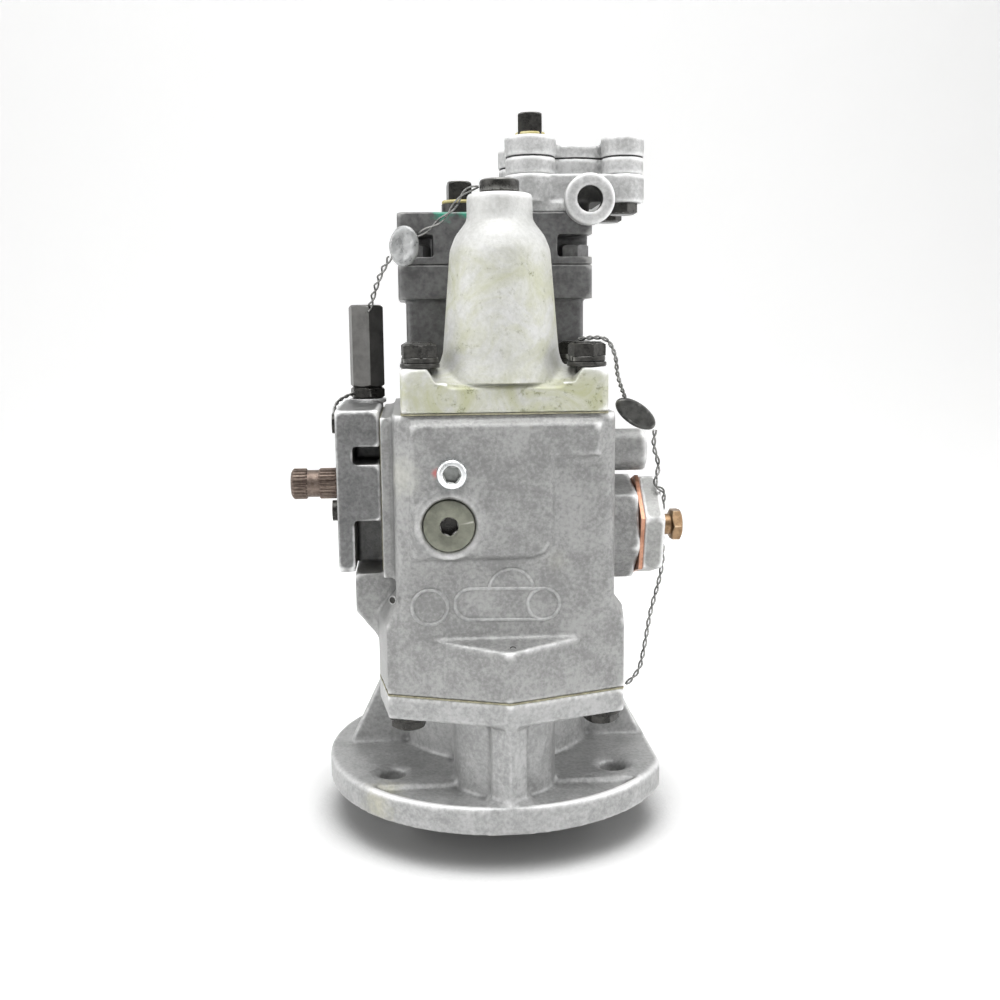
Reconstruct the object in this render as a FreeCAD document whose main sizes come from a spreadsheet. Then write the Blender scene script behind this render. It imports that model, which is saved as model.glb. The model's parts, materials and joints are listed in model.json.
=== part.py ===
import FreeCAD, Part
import Sketcher
import math
import os
import re

# Diesel fuel pump: an engine driven governor pump with a gear pump and a pulse damper.
# The origin is the centre of the mounting flange's face, +Z points up the drive shaft,
# and the spring cover and governor stand on the -Y side, which is the front.

doc = FreeCAD.newDocument("fuel_pump")
sheet = doc.addObject("Spreadsheet::Sheet", "sizes")

# Driving sizes in millimetres and degrees, one alias each.
SIZES = {
    # mounting flange and front cover
    "flange_radius": 74.6, "flange_thick": 11.5, "flange_flat_x": 67.5,
    "bolt_hole_x": 46.5, "bolt_hole_y": 33.1, "bolt_hole_radius": 5.5,
    "spot_radius": 8.2, "spot_deep": 0.8, "rim_wide": 2.9, "tray_deep": 2.4, "tray_y": 47.0,
    "tray_rib_gap": 1.6, "flange_edge": 1.0, "gear_room": 1.0, "gear_room_high": 14.0,
    "pilot_radius": 38.1, "pilot_deep": 6.0, "nose_radius": 31.0, "nose_deep": 16.0,
    "case_radius": 41.5, "case_y": 13.5, "case_back_y": 46.0, "neck_half": 20.0, "neck_back_y": 16.0,
    "gusset_thick": 7.0, "gusset_front_y": 2.0, "gusset_root": 30.0, "gusset_out": 65.0, "gusset_peak": 51.0,
    "gusset_foot": 2.0, "rib_half": 7.0, "rib_front": 66.0,
    "plate_bolt_front_x": 39.0, "plate_bolt_front_y": 49.0, "plate_bolt_back_x": 45.0,
    "plate_bolt_back_y": 38.0, "plate_bolt_flange": 1.6, "thread_deep": 12.0, "screw_deep": 9.0,
    # joint plate, shared by the front cover, its gasket and the foot of the housing
    "plate_low": 42.3, "plate_high": 52.0, "plate_half": 47.0, "plate_corner_y": 56.0,
    "plate_apex_y": 72.5, "plate_side_half": 51.0, "plate_side_y": 30.0, "plate_back_y": 48.0,
    "gasket_thick": 0.6,
    # main housing
    "face_y": 61.0, "face_half": 37.0, "wall_half": 43.0, "face_corner": 6.0,
    "housing_top": 163.0, "shoulder_z": 80.0, "shoulder_top_z": 90.0,
    "ledge_back_z": 76.0, "ledge_front_z": 72.2,
    "panel_thick": 3.0, "panel_low_z": 107.5, "panel_step_x": 18.4, "panel_step_z": 146.5,
    "panel_drop": 2.5, "panel_round": 9.0, "panel_edge": 1.6, "belly_slope": 8.0,
    "pad_x": 48.0, "pad_front_y": 44.0, "pad_back_y": 40.0, "pad_low_z": 97.0, "pad_drop": 2.0,
    "belly_x": 60.0, "belly_half": 30.0, "belly_low_z": 66.0, "belly_mid_z": 80.0,
    "boss_radius": 8.6, "boss_y": 30.0, "boss_z": 145.5, "boss_end_x": 59.5,
    # governor
    "governor_y": 40.0, "governor_boss_radius": 21.0, "chamber_radius": 27.5, "chamber_top_z": 69.5,
    "chamber_low_z": 45.8,
    "governor_shaft_radius": 6.0, "bush_wall": 3.0, "governor_foot_z": 14.0,
    "plunger_radius": 5.0, "stem_radius": 3.4, "barrel_radius": 11.0, "barrel_low_z": 72.0,
    "barrel_high_z": 158.0, "collar_radius": 8.6, "collar_thick": 2.5,
    "weight_pivot_r": 13.0, "weight_pivot_z": 50.0, "weight_pin_radius": 1.6, "weight_wide": 12.0,
    "weight_high": 16.0, "weight_out": 8.0, "toe_reach": 8.5, "toe_thick": 2.0, "toe_gap": 0.3,
    "toe_root": 2.5, "ear_wide": 4.0, "ear_half": 3.0, "ear_gap": 0.3, "carrier_radius": 15.0,
    "carrier_thick": 5.3, "weight_foot": 2.6, "stem_deep": 6.0, "barrel_groove": 5.0,
    "barrel_groove_deep": 1.2, "barrel_groove_z": 92.0,
    # gear train
    "gear_low_z": 31.0, "gear_thick": 10.0, "gear_module": 2.0, "main_teeth": 25,
    "governor_teeth": 15, "pressure_angle": 20.0, "backlash": 0.24,
    "pump_module": 1.75, "pump_teeth": 14, "pump_gear_low_z": 200.0, "pump_gear_thick": 20.8,
    "short_addendum": 0.85,
    # drive
    "shaft_radius": 7.5, "shaft_top_z": 231.0, "bearing_radius": 17.5, "bearing_thick": 11.0,
    "bearing_race": 3.2, "seal_radius": 16.0, "seal_thick": 7.0, "coupling_radius": 18.0,
    "coupling_wall": 6.0, "coupling_low_z": -15.5, "coupling_long": 17.5, "socket_deep": 10.0,
    "recess_gap": 2.0, "coupling_splines": 12, "spline_wide": 1.4, "spline_deep": 1.8,
    "upper_bush_radius": 11.0, "upper_bush_long": 20.0, "passage_radius": 11.2,
    # spring cover
    "cover_half": 39.7, "cover_thick": 17.0, "cover_front_y": 62.0, "cover_back_y": 15.0,
    "cover_bolt_x": 32.0, "cover_bolt_front_y": 54.0, "cover_bolt_back_y": 24.0,
    "scallop_half": 22.0, "scallop_deep": 6.0, "scallop_drop": 5.5, "cover_corner": 3.0,
    "bell_foot_radius": 24.6, "bell_foot_high": 5.0, "bell_low_radius": 22.8,
    "bell_high_radius": 19.6, "bell_shoulder_z": 225.0, "neck_radius": 12.8, "neck_low_z": 236.5,
    "bell_top_z": 246.5, "bell_wall": 4.0, "bell_floor_z": 226.0,
    "idle_plug_radius": 7.7, "idle_plug_high": 5.4, "idle_thread_radius": 6.0, "wire_hole": 1.2,
    # springs
    "seat_radius": 13.0, "seat_above": 1.4, "seat_thick": 2.5,
    "stop_thick": 3.0, "spring_top_z": 214.0, "spring_radius": 11.0, "spring_wire": 1.5, "spring_turns": 5,
    "idle_spring_radius": 5.2, "idle_spring_wire": 0.9, "idle_spring_turns": 7, "wire_sides": 8,
    # throttle
    "throttle_y": 20.5, "throttle_z": 132.5, "throttle_radius": 6.5, "spline_radius": 6.35,
    "throttle_out_x": 85.5, "throttle_in_x": 14.0, "groove_x": 76.5,
    "groove_wide": 5.0, "groove_radius": 5.6, "throttle_port": 3.0,
    "throttle_plate_out": 66.3, "throttle_plate_in": 59.5, "throttle_front_y": 35.0,
    "throttle_back_y": 34.0, "throttle_low_z": 97.5, "throttle_high_z": 163.6,
    "upper_block_z": 148.6, "middle_high_z": 141.6, "middle_low_z": 118.5,
    "throttle_gasket": 0.5, "pocket_back_y": 12.0, "throttle_corner": 2.0,
    "screw_head_radius": 4.2, "screw_head": 2.0, "screw_radius": 2.5, "screw_high_z": 157.0,
    "screw_low_z": 106.0, "screw_middle_z": 122.5, "screw_front_y": 18.0,
    "screw_low_y": 29.5, "screw_back_y": 24.0,
    "tamper_y": -12.0, "tamper_x": 54.6, "tamper_across": 13.6, "tamper_low_z": 170.4,
    "tamper_high_z": 205.6, "tamper_turn": 12.0, "nut_high": 5.0, "tamper_boss_radius": 8.2,
    "stop_radius": 3.0, "stop_below": 20.0, "stop_above": 20.0, "tamper_deep": 22.0,
    # plugs on the front face
    "plug_x": -22.2, "plug_z": 121.3, "plug_radius": 9.8, "plug_boss_radius": 13.6,
    "plug_boss_proud": 1.6, "plug_proud": 1.0, "plug_hex": 6.4, "plug_deep": 8.0, "socket_hex_deep": 6.0,
    "vent_x": -20.9, "vent_z": 141.2, "vent_radius": 5.8, "vent_proud": 5.0, "vent_hex": 5.6,
    "vent_stem": 3.5, "vent_hex_deep": 3.5,
    # gear pump
    "pump_half": 40.0, "pump_low_half": 37.0, "pump_front_y": 17.5, "pump_low_front_y": 13.5,
    "pump_back_y": 44.0, "pump_flange_z": 207.0, "pump_joint_z": 221.0, "pump_top_z": 242.0,
    "pump_bolt_x": 33.0, "pump_bolt_front_y": 10.0, "pump_bolt_back_y": 36.0, "pump_bolt_radius": 3.0,
    "pump_recess": 7.6, "pump_recess_floor": 3.0, "pump_recess_high": 12.0, "pump_corner": 2.5,
    "small_across": 11.0, "small_head": 4.6, "port_hole_x": 16.0, "port_bore_radius": 6.0,
    "pump_plug_x": -13.9, "pump_plug_y": 2.0, "pump_plug_radius": 4.4, "pump_plug_deep": 6.0,
    "pump_collar_radius": 7.4, "pump_collar_high": 5.0, "square_across": 9.6, "square_high": 9.0,
    "driven_stub_radius": 6.0, "driven_stub_long": 11.0,
    # pulse damper
    "damper_x": 34.5, "damper_y": 10.0, "lobe_x": 19.2, "lobe_y": 18.0, "lobe_left_radius": 10.6,
    "lobe_right_radius": 9.0, "damper_round": 19.5, "block_low_z": 246.0, "block_high_z": 257.4,
    "shell_split_z": 264.6, "shell_top_z": 269.6, "lobe_top_z": 272.6, "diaphragm_thick": 0.5,
    "port_x": 37.8, "port_z": 246.4, "port_radius": 10.2, "port_front_y": 25.0,
    "port_hole_radius": 5.2, "block_left_x": -2.0, "block_back_y": 34.0, "slab_past": 7.0,
    "membrane_radius": 15.0, "membrane_room": 3.0, "shell_step": 0.3,
    "damper_ring_radius": 6.4, "damper_ring_high": 1.6,
    # right side cap
    "cap_y": 25.0, "cap_z": 113.0, "cap_corner": 22.0, "cap_turn": 16.0, "cap_seat_x": 55.5,
    "cap_washer": 1.5, "cap_thick": 8.6, "cap_screw_radius": 3.0, "cap_screw_out": 76.2,
    "cap_head_thick": 4.6, "cap_head_radius": 7.0, "cap_neck_radius": 4.4, "cap_washer_past": 0.4,
    # lock wires and their seals
    "wire_radius": 0.65, "disc_radius": 7.3, "disc_thick": 3.0, "oval_long": 9.4, "oval_wide": 4.6,
    "oval_thick": 4.0,
    # bolts
    "bolt_radius": 4.0, "bolt_across": 12.7, "bolt_head": 5.4, "washer_radius": 8.7,
    "washer_thick": 1.8, "lock_radius": 7.0, "lock_thick": 2.2,
    # fits
    "run_gap": 0.05, "seat_gap": 0.2,
}
for row, (name, value) in enumerate(SIZES.items(), 1):
    sheet.set(f"A{row}", name)
    sheet.set(f"B{row}", str(value))
    sheet.setAlias(f"B{row}", name)
doc.recompute()


def full(text):
    """The expression with each size read from the sheet."""
    word = r"[a-z][a-z_]*"
    return re.sub(word, lambda m: "sizes." + m.group(0) if m.group(0) in SIZES else m.group(0), str(text))


def num(text):
    """The value of an expression of sizes."""
    value = sheet.evalExpression(str(text))
    return float(getattr(value, "Value", value))


def bind(thing, prop, text):
    thing.setExpression(prop, full(text))


# Bodies and sketches

PLANES = {"top": "XY_Plane", "front": "XZ_Plane", "side": "YZ_Plane"}


def new_body(label, x="0", y="0", z="0"):
    body = doc.addObject("PartDesign::Body", label)
    body.Label = label
    for axis, place in zip("xyz", (x, y, z)):
        bind(body, f"Placement.Base.{axis}", place)
    return body


def new_sketch(body, side, height):
    """A sketch square to Z (top), to Y (front) or to X (side), at the given coordinate."""
    sketch = body.newObject("Sketcher::SketchObject", f"{body.Label}_sketch")
    plane = [f for f in body.Origin.OriginFeatures if f.Role == PLANES[side]][0]
    sketch.AttachmentSupport = [(plane, "")]
    sketch.MapMode = "FlatFace"
    bind(sketch, "AttachmentOffset.Base.z", f"-({height})" if side == "front" else height)
    return sketch


def bend(start, end, radius):
    """The arc of that radius from start to end, its centre on the left of the way."""
    way = end - start
    left = FreeCAD.Vector(-way.y, way.x, 0).normalize()
    centre = (start + end) * 0.5 + left * math.sqrt(radius ** 2 - way.Length ** 2 / 4)
    angles = [math.atan2(p.y - centre.y, p.x - centre.x) for p in (start, end)]
    return Part.ArcOfCircle(Part.Circle(centre, FreeCAD.Vector(0, 0, 1), radius), *angles)


def outline(body, side, height, corners):
    """A closed outline through corners given as pairs of expressions. A corner with a third
    expression starts an arc of that radius, in an outline that goes counter-clockwise."""
    sketch = new_sketch(body, side, height)
    points = [FreeCAD.Vector(num(corner[0]), num(corner[1]), 0) for corner in corners]
    count = len(points)
    arcs = [(i, corner[2]) for i, corner in enumerate(corners) if len(corner) == 3]
    radii = dict(arcs)
    for i, start in enumerate(points):
        end = points[(i + 1) % count]
        side_line = bend(start, end, num(radii[i])) if i in radii else Part.LineSegment(start, end)
        sketch.addGeometry(side_line, False)
    rules = [Sketcher.Constraint("Coincident", i, 2, (i + 1) % count, 1) for i in range(count)]
    for i, point in enumerate(points):
        rules.append(Sketcher.Constraint("DistanceX", -1, 1, i, 1, point.x))
        rules.append(Sketcher.Constraint("DistanceY", -1, 1, i, 1, point.y))
    rules += [Sketcher.Constraint("Radius", i, num(radius)) for i, radius in arcs]
    sketch.addConstraint(rules)
    for i, corner in enumerate(corners):
        bind(sketch, f"Constraints[{count + 2 * i}]", corner[0])
        bind(sketch, f"Constraints[{count + 2 * i + 1}]", corner[1])
    for k, (i, radius) in enumerate(arcs):
        bind(sketch, f"Constraints[{3 * count + k}]", radius)
    return sketch


def rounded(left, low, right, high, radius):
    """The corners of a rectangle whose own corners have that radius, for an outline."""
    return [
        (f"{left} + {radius}", low), (f"{right} - {radius}", low, radius),
        (right, f"{low} + {radius}"), (right, f"{high} - {radius}", radius),
        (f"{right} - {radius}", high), (f"{left} + {radius}", high, radius),
        (left, f"{high} - {radius}"), (left, f"{low} + {radius}", radius),
    ]


def circles(body, side, height, rings):
    """One or more circles, each an expression for its two coordinates and its radius."""
    sketch = new_sketch(body, side, height)
    for i, (across, up, radius) in enumerate(rings):
        centre = FreeCAD.Vector(num(across), num(up), 0)
        sketch.addGeometry(Part.Circle(centre, FreeCAD.Vector(0, 0, 1), num(radius)), False)
        sketch.addConstraint([
            Sketcher.Constraint("DistanceX", -1, 1, i, 3, centre.x),
            Sketcher.Constraint("DistanceY", -1, 1, i, 3, centre.y),
            Sketcher.Constraint("Radius", i, num(radius)),
        ])
        for k, text in enumerate((across, up, radius)):
            bind(sketch, f"Constraints[{3 * i + k}]", text)
    return sketch


def pad(body, sketch, length, reverse=False, middle=False):
    feature = body.newObject("PartDesign::Pad", f"{body.Label}_pad")
    feature.Profile = sketch
    bind(feature, "Length", length)
    feature.Reversed = reverse
    feature.Midplane = middle
    return feature


def pocket(body, sketch, length, reverse=False, middle=False):
    """A cut from the sketch against its normal, or along it when reversed."""
    feature = body.newObject("PartDesign::Pocket", f"{body.Label}_pocket")
    feature.Profile = sketch
    bind(feature, "Length", length)
    feature.Reversed = reverse
    feature.Midplane = middle
    return feature


def loft(body, low, high):
    """A straight sided solid between two outlines with as many corners."""
    feature = body.newObject("PartDesign::AdditiveLoft", f"{body.Label}_loft")
    feature.Profile = low
    feature.Sections = [high]
    feature.Ruled = True
    return feature


def spin(body, sketch):
    """A revolution about the body's own Z axis."""
    feature = body.newObject("PartDesign::Revolution", f"{body.Label}_turned")
    feature.Profile = sketch
    feature.ReferenceAxis = (sketch, ["V_Axis"])
    feature.Angle = 360
    return feature


def edges_where(shape, test):
    return [f"Edge{i}" for i, edge in enumerate(shape.Edges, 1) if test(edge)]


def dress(body, kind, size, test):
    """A fillet or a chamfer on the edges that pass the test."""
    doc.recompute()
    base = body.Tip
    feature = body.newObject(f"PartDesign::{kind}", f"{body.Label}_{kind.lower()}")
    feature.Base = (base, edges_where(base.Shape, test))
    bind(feature, "Radius" if kind == "Fillet" else "Size", size)
    return feature


# Primitives and booleans

TURNS = {
    "z": FreeCAD.Rotation(),
    "x": FreeCAD.Rotation(FreeCAD.Vector(0, 1, 0), 90),
    "y": FreeCAD.Rotation(FreeCAD.Vector(1, 0, 0), -90),
}


def place(thing, at, axis, turn=0):
    own = FreeCAD.Rotation(FreeCAD.Vector(0, 0, 1), turn)
    thing.Placement = FreeCAD.Placement(FreeCAD.Vector(), TURNS[axis] * own)
    for letter, text in zip("xyz", at):
        bind(thing, f"Placement.Base.{letter}", text)
    return thing


def rod(radius, length, at, axis="z"):
    """A cylinder that runs from the point at along the axis."""
    thing = doc.addObject("Part::Cylinder", "rod")
    bind(thing, "Radius", radius)
    bind(thing, "Height", length)
    return place(thing, at, axis)


def hexagon(across, length, at, axis="z", turn=0, sides=6):
    """A prism given by its size across flats."""
    thing = doc.addObject("Part::Prism", "hexagon")
    thing.Polygon = sides
    bind(thing, "Circumradius", f"({across}) / 2 / cos(180 / {sides})")
    bind(thing, "Height", length)
    return place(thing, at, axis, turn)


def cone(low_radius, high_radius, length, at, axis="z"):
    thing = doc.addObject("Part::Cone", "cone")
    bind(thing, "Radius1", low_radius)
    bind(thing, "Radius2", high_radius)
    bind(thing, "Height", length)
    return place(thing, at, axis)


def block(long, wide, high, at):
    thing = doc.addObject("Part::Box", "block")
    bind(thing, "Length", long)
    bind(thing, "Width", wide)
    bind(thing, "Height", high)
    return place(thing, at, "z")


def fuse(label, *parts):
    thing = doc.addObject("Part::MultiFuse", label)
    thing.Label = label
    thing.Shapes = list(parts)
    thing.Refine = True
    return thing


def washer(radius, hole, thick, at, axis="z", label="washer"):
    """A flat ring."""
    return cut(label, rod(radius, thick, at, axis), rod(hole, thick, at, axis))


def cut(label, base, *tools):
    thing = doc.addObject("Part::Cut", label)
    thing.Label = label
    thing.Base = base
    thing.Tool = tools[0] if len(tools) == 1 else fuse(label + "_tools", *tools)
    thing.Refine = True
    return thing


def group(label, parts):
    """Several separate solids that share one node."""
    thing = doc.addObject("Part::Compound", label)
    thing.Label = label
    thing.Links = list(parts)
    return thing


def solid_feature(label, shape):
    """A piece whose shape comes from a formula."""
    thing = doc.addObject("Part::Feature", label)
    thing.Label = label
    thing.Shape = shape
    return thing


nodes = []


def node(thing):
    nodes.append(thing)
    return thing


# Places that several pieces share

FLANGE_HOLES = [(f"{sx}bolt_hole_x", f"{sy}bolt_hole_y") for sx in ("", "-") for sy in ("", "-")]
PLATE_BOLTS = [
    (f"{sx}plate_bolt_{row}_x", f"{sy}plate_bolt_{row}_y")
    for row, sy in (("front", "-"), ("back", "")) for sx in ("", "-")
]
COVER_BOLTS = [(f"{sx}cover_bolt_x", f"-cover_bolt_{row}_y") for sx in ("", "-") for row in ("front", "back")]
PUMP_BOLTS = [
    (f"{sx}pump_bolt_x", y) for sx in ("", "-") for y in ("-pump_bolt_front_y", "pump_bolt_back_y")
]
LOBES = [
    ("damper_x - lobe_x", "damper_y - lobe_y", "lobe_left_radius"),
    ("damper_x + lobe_x", "damper_y - lobe_y", "lobe_right_radius"),
    ("damper_x - lobe_x", "damper_y + lobe_y", "lobe_left_radius"),
    ("damper_x + lobe_x", "damper_y + lobe_y", "lobe_right_radius"),
]
THROTTLE_SCREWS = [
    ("-screw_front_y", "screw_high_z"), ("screw_back_y", "screw_high_z"),
    ("-screw_low_y", "screw_middle_z"), ("screw_back_y", "screw_low_z"),
]
CLEAR_BOLT = "bolt_radius + seat_gap"
CLEAR_SCREW = "screw_radius + seat_gap"
CLEAR_PUMP_BOLT = "pump_bolt_radius + seat_gap"
SEAL_LOW = "(coupling_low_z + coupling_long + 1.2)"
GASKET_TOP = "(plate_high + gasket_thick)"
PAD_TOP = "(housing_top - pad_drop)"
PANEL_TOP = "(housing_top - panel_drop)"
SEAT_LOW = "(housing_top + seat_above)"
COVER_LOW = "(housing_top + gasket_thick)"
COVER_TOP = "(housing_top + gasket_thick + cover_thick)"
MAIN_PITCH = "(main_teeth * gear_module / 2)"
GOVERNOR_PITCH = "(governor_teeth * gear_module / 2)"
PUMP_PITCH = "(pump_teeth * pump_module / 2)"
PUMP_SPACING = "(pump_teeth * pump_module)"
PLATE = [
    ("0", "-plate_apex_y"), ("plate_half", "-plate_corner_y"), ("plate_side_half", "-plate_side_y"),
    ("plate_side_half", "plate_back_y"), ("-plate_side_half", "plate_back_y"),
    ("-plate_side_half", "-plate_side_y"), ("-plate_half", "-plate_corner_y"),
]
CAVITY = [("0", "0", f"{MAIN_PITCH} + gear_module + 1.5")]
CHAMBER = [("0", "-governor_y", "chamber_radius")]

# Points of the twisted lockwires, which are stiff and held at both ends of each run.
LEFT_WIRE = [
    [(-7.95, -40, 249.2), (-13.5, -39.5, 248.2), (-17.5, -36.5, 241.5), (-24.1, -32, 235.9),
     (-31.6, -26.9, 232.0)],
    [(-42.8, -21.1, 224.0), (-46.5, -15, 219), (-49.5, -6, 212.5), (-51.8, 0.5, 206), (-53.1, 5.1, 202.6)],
    [(-59.85, 7.25, 168), (-64, 3.5, 166.8), (-68, -1.5, 164), (-68.2, -8, 160), (-67.35, -13.4, 158.2)],
]
RIGHT_WIRE = [
    [(28.5, -55, 190.9), (33, -56, 191.5), (39.6, -56.6, 191.3), (42.9, -56.5, 184.5), (43.6, -54.5, 178),
     (46, -50.5, 172), (48.5, -46, 167.6)],
    [(61.9, -40, 154.2), (61.2, -38, 147.9), (65.4, -34, 139.2), (62, -38, 130.8), (66.9, -37, 129.3),
     (67.3, -31, 121), (67.4, -30.3, 113), (67.4, -31, 109), (67.2, -34, 99), (65.2, -36, 91),
     (60.8, -40, 79.4), (57, -46, 64), (53.6, -51.5, 56), (48.3, -53.5, 53.0)],
]
DISC_PLACE = (-37.2, -24, 228)
DISC_NORMAL = (0.466, 0.885, 0)
OVAL_PLACE = (53.5, -44, 161)
OVAL_LONG_WAY = (0.82, 0, -0.57)


def make_front_cover():
    """Mounting flange, pilot, gear case, governor boss and joint plate in one casting."""
    body = new_body("front_cover")
    pad(body, circles(body, "top", "0", [("0", "0", "flange_radius")]), "flange_thick")
    dress(body, "Chamfer", "flange_edge", lambda edge: edge.BoundBox.ZMin > 1)
    pad(body, circles(body, "top", "0", [("0", "0", "pilot_radius")]), "pilot_deep", reverse=True)
    pad(body, circles(body, "top", "0", [("0", "0", "nose_radius")]), "nose_deep", reverse=True)
    flat = [("flange_flat_x", "-flange_radius"), ("flange_radius * 1.1", "-flange_radius"),
            ("flange_radius * 1.1", "flange_radius"), ("flange_flat_x", "flange_radius")]
    pocket(body, outline(body, "top", "flange_thick", flat), "flange_thick")
    cut_trays(body)
    # everything between flange and joint plate stands on the floor of the trays
    foot = "flange_thick - tray_deep"
    rise = f"plate_low - ({foot})"
    half = "sqrt(case_radius ^ 2 - (case_back_y - case_y) ^ 2)"
    case = [(f"-{half}", "case_back_y", "case_radius"), ("0", "case_y - case_radius", "case_radius"),
            (half, "case_back_y")]
    pad(body, outline(body, "top", foot, case), rise)
    boss = circles(body, "top", foot, [("0", "-governor_y", "governor_boss_radius")])
    pad(body, boss, rise)
    neck = [("-neck_half", "-governor_y"), ("neck_half", "-governor_y"),
            ("neck_half", "-neck_back_y"), ("-neck_half", "-neck_back_y")]
    pad(body, outline(body, "top", foot, neck), rise)
    rib = [("-rib_half", "-governor_y"), ("-rib_half", "-rib_front"), ("0", "-plate_apex_y"),
           ("rib_half", "-rib_front"), ("rib_half", "-governor_y")]
    pad(body, outline(body, "top", foot, rib), rise)
    pad(body, outline(body, "top", "plate_low", PLATE), "plate_high - plate_low")
    middle = "gusset_front_y + gusset_thick / 2"
    for side in ("", "-"):
        gusset = [(f"{side}gusset_root", foot), (f"{side}gusset_out", foot),
                  (f"{side}gusset_out", "flange_thick + gusset_foot"), (f"{side}gusset_peak", "plate_low"),
                  (f"{side}gusset_root", "plate_low")]
        pad(body, outline(body, "front", middle, gusset), "gusset_thick", middle=True)
    holes = [(x, y, "bolt_hole_radius") for x, y in FLANGE_HOLES]
    pocket(body, circles(body, "top", "flange_thick", holes), "flange_thick")
    spots = [(x, y, "spot_radius") for x, y in FLANGE_HOLES]
    pocket(body, circles(body, "top", "flange_thick", spots), "spot_deep")
    deep = "plate_high - gear_low_z + gear_room"
    pocket(body, circles(body, "top", "plate_high", CAVITY), deep)
    pinion = [("0", "-governor_y", f"{GOVERNOR_PITCH} + gear_module + gear_room")]
    pocket(body, circles(body, "top", "plate_high", pinion), deep)
    bearing = circles(body, "top", "gear_low_z", [("0", "0", "bearing_radius + seat_gap")])
    pocket(body, bearing, "bearing_thick + 2 * gear_room")
    seal = circles(body, "top", SEAL_LOW, [("0", "0", "seal_radius + seat_gap")])
    pocket(body, seal, "seal_thick + seat_gap", reverse=True)
    recess = circles(body, "top", "-nose_deep", [("0", "0", "coupling_radius + recess_gap")])
    pocket(body, recess, "coupling_long + recess_gap - seat_gap", reverse=True)
    through = circles(body, "top", "gear_low_z", [("0", "0", "shaft_radius + gear_room")])
    pocket(body, through, "gear_low_z")
    pocket(body, circles(body, "top", "plate_high", CHAMBER), "plate_high - chamber_low_z")
    bush = [("0", "-governor_y", "governor_shaft_radius + bush_wall + seat_gap")]
    pocket(body, circles(body, "top", "gear_low_z", bush), "gear_low_z - governor_foot_z")
    bolts = [(x, y, CLEAR_BOLT) for x, y in PLATE_BOLTS]
    pocket(body, circles(body, "top", "plate_high", bolts), "plate_high - plate_low")
    return node(body)


def cut_trays(body):
    """The two shallow trays in the front of the flange, one each side of the rib."""
    ring = "(flange_radius - rim_wide)"
    inner = "(rib_half + tray_rib_gap)"
    low = f"-sqrt({ring} ^ 2 - {inner} ^ 2)"
    far = f"sqrt({ring} ^ 2 - tray_y ^ 2)"
    right = [(inner, low, ring), (far, "-tray_y"), (inner, "-tray_y")]
    left = [(f"-{inner}", "-tray_y"), (f"-{far}", "-tray_y", ring), (f"-{inner}", low)]
    for corners in (right, left):
        pocket(body, outline(body, "top", "flange_thick", corners), "tray_deep")


def make_cover_gasket():
    """The gasket of the joint plate, with its gear and flyweight openings."""
    body = new_body("cover_gasket")
    pad(body, outline(body, "top", "plate_high", PLATE), "gasket_thick")
    bolts = [(x, y, CLEAR_BOLT) for x, y in PLATE_BOLTS]
    for rings in (CAVITY, CHAMBER, bolts):
        pocket(body, circles(body, "top", GASKET_TOP, rings), "gasket_thick")
    return node(body)


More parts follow.
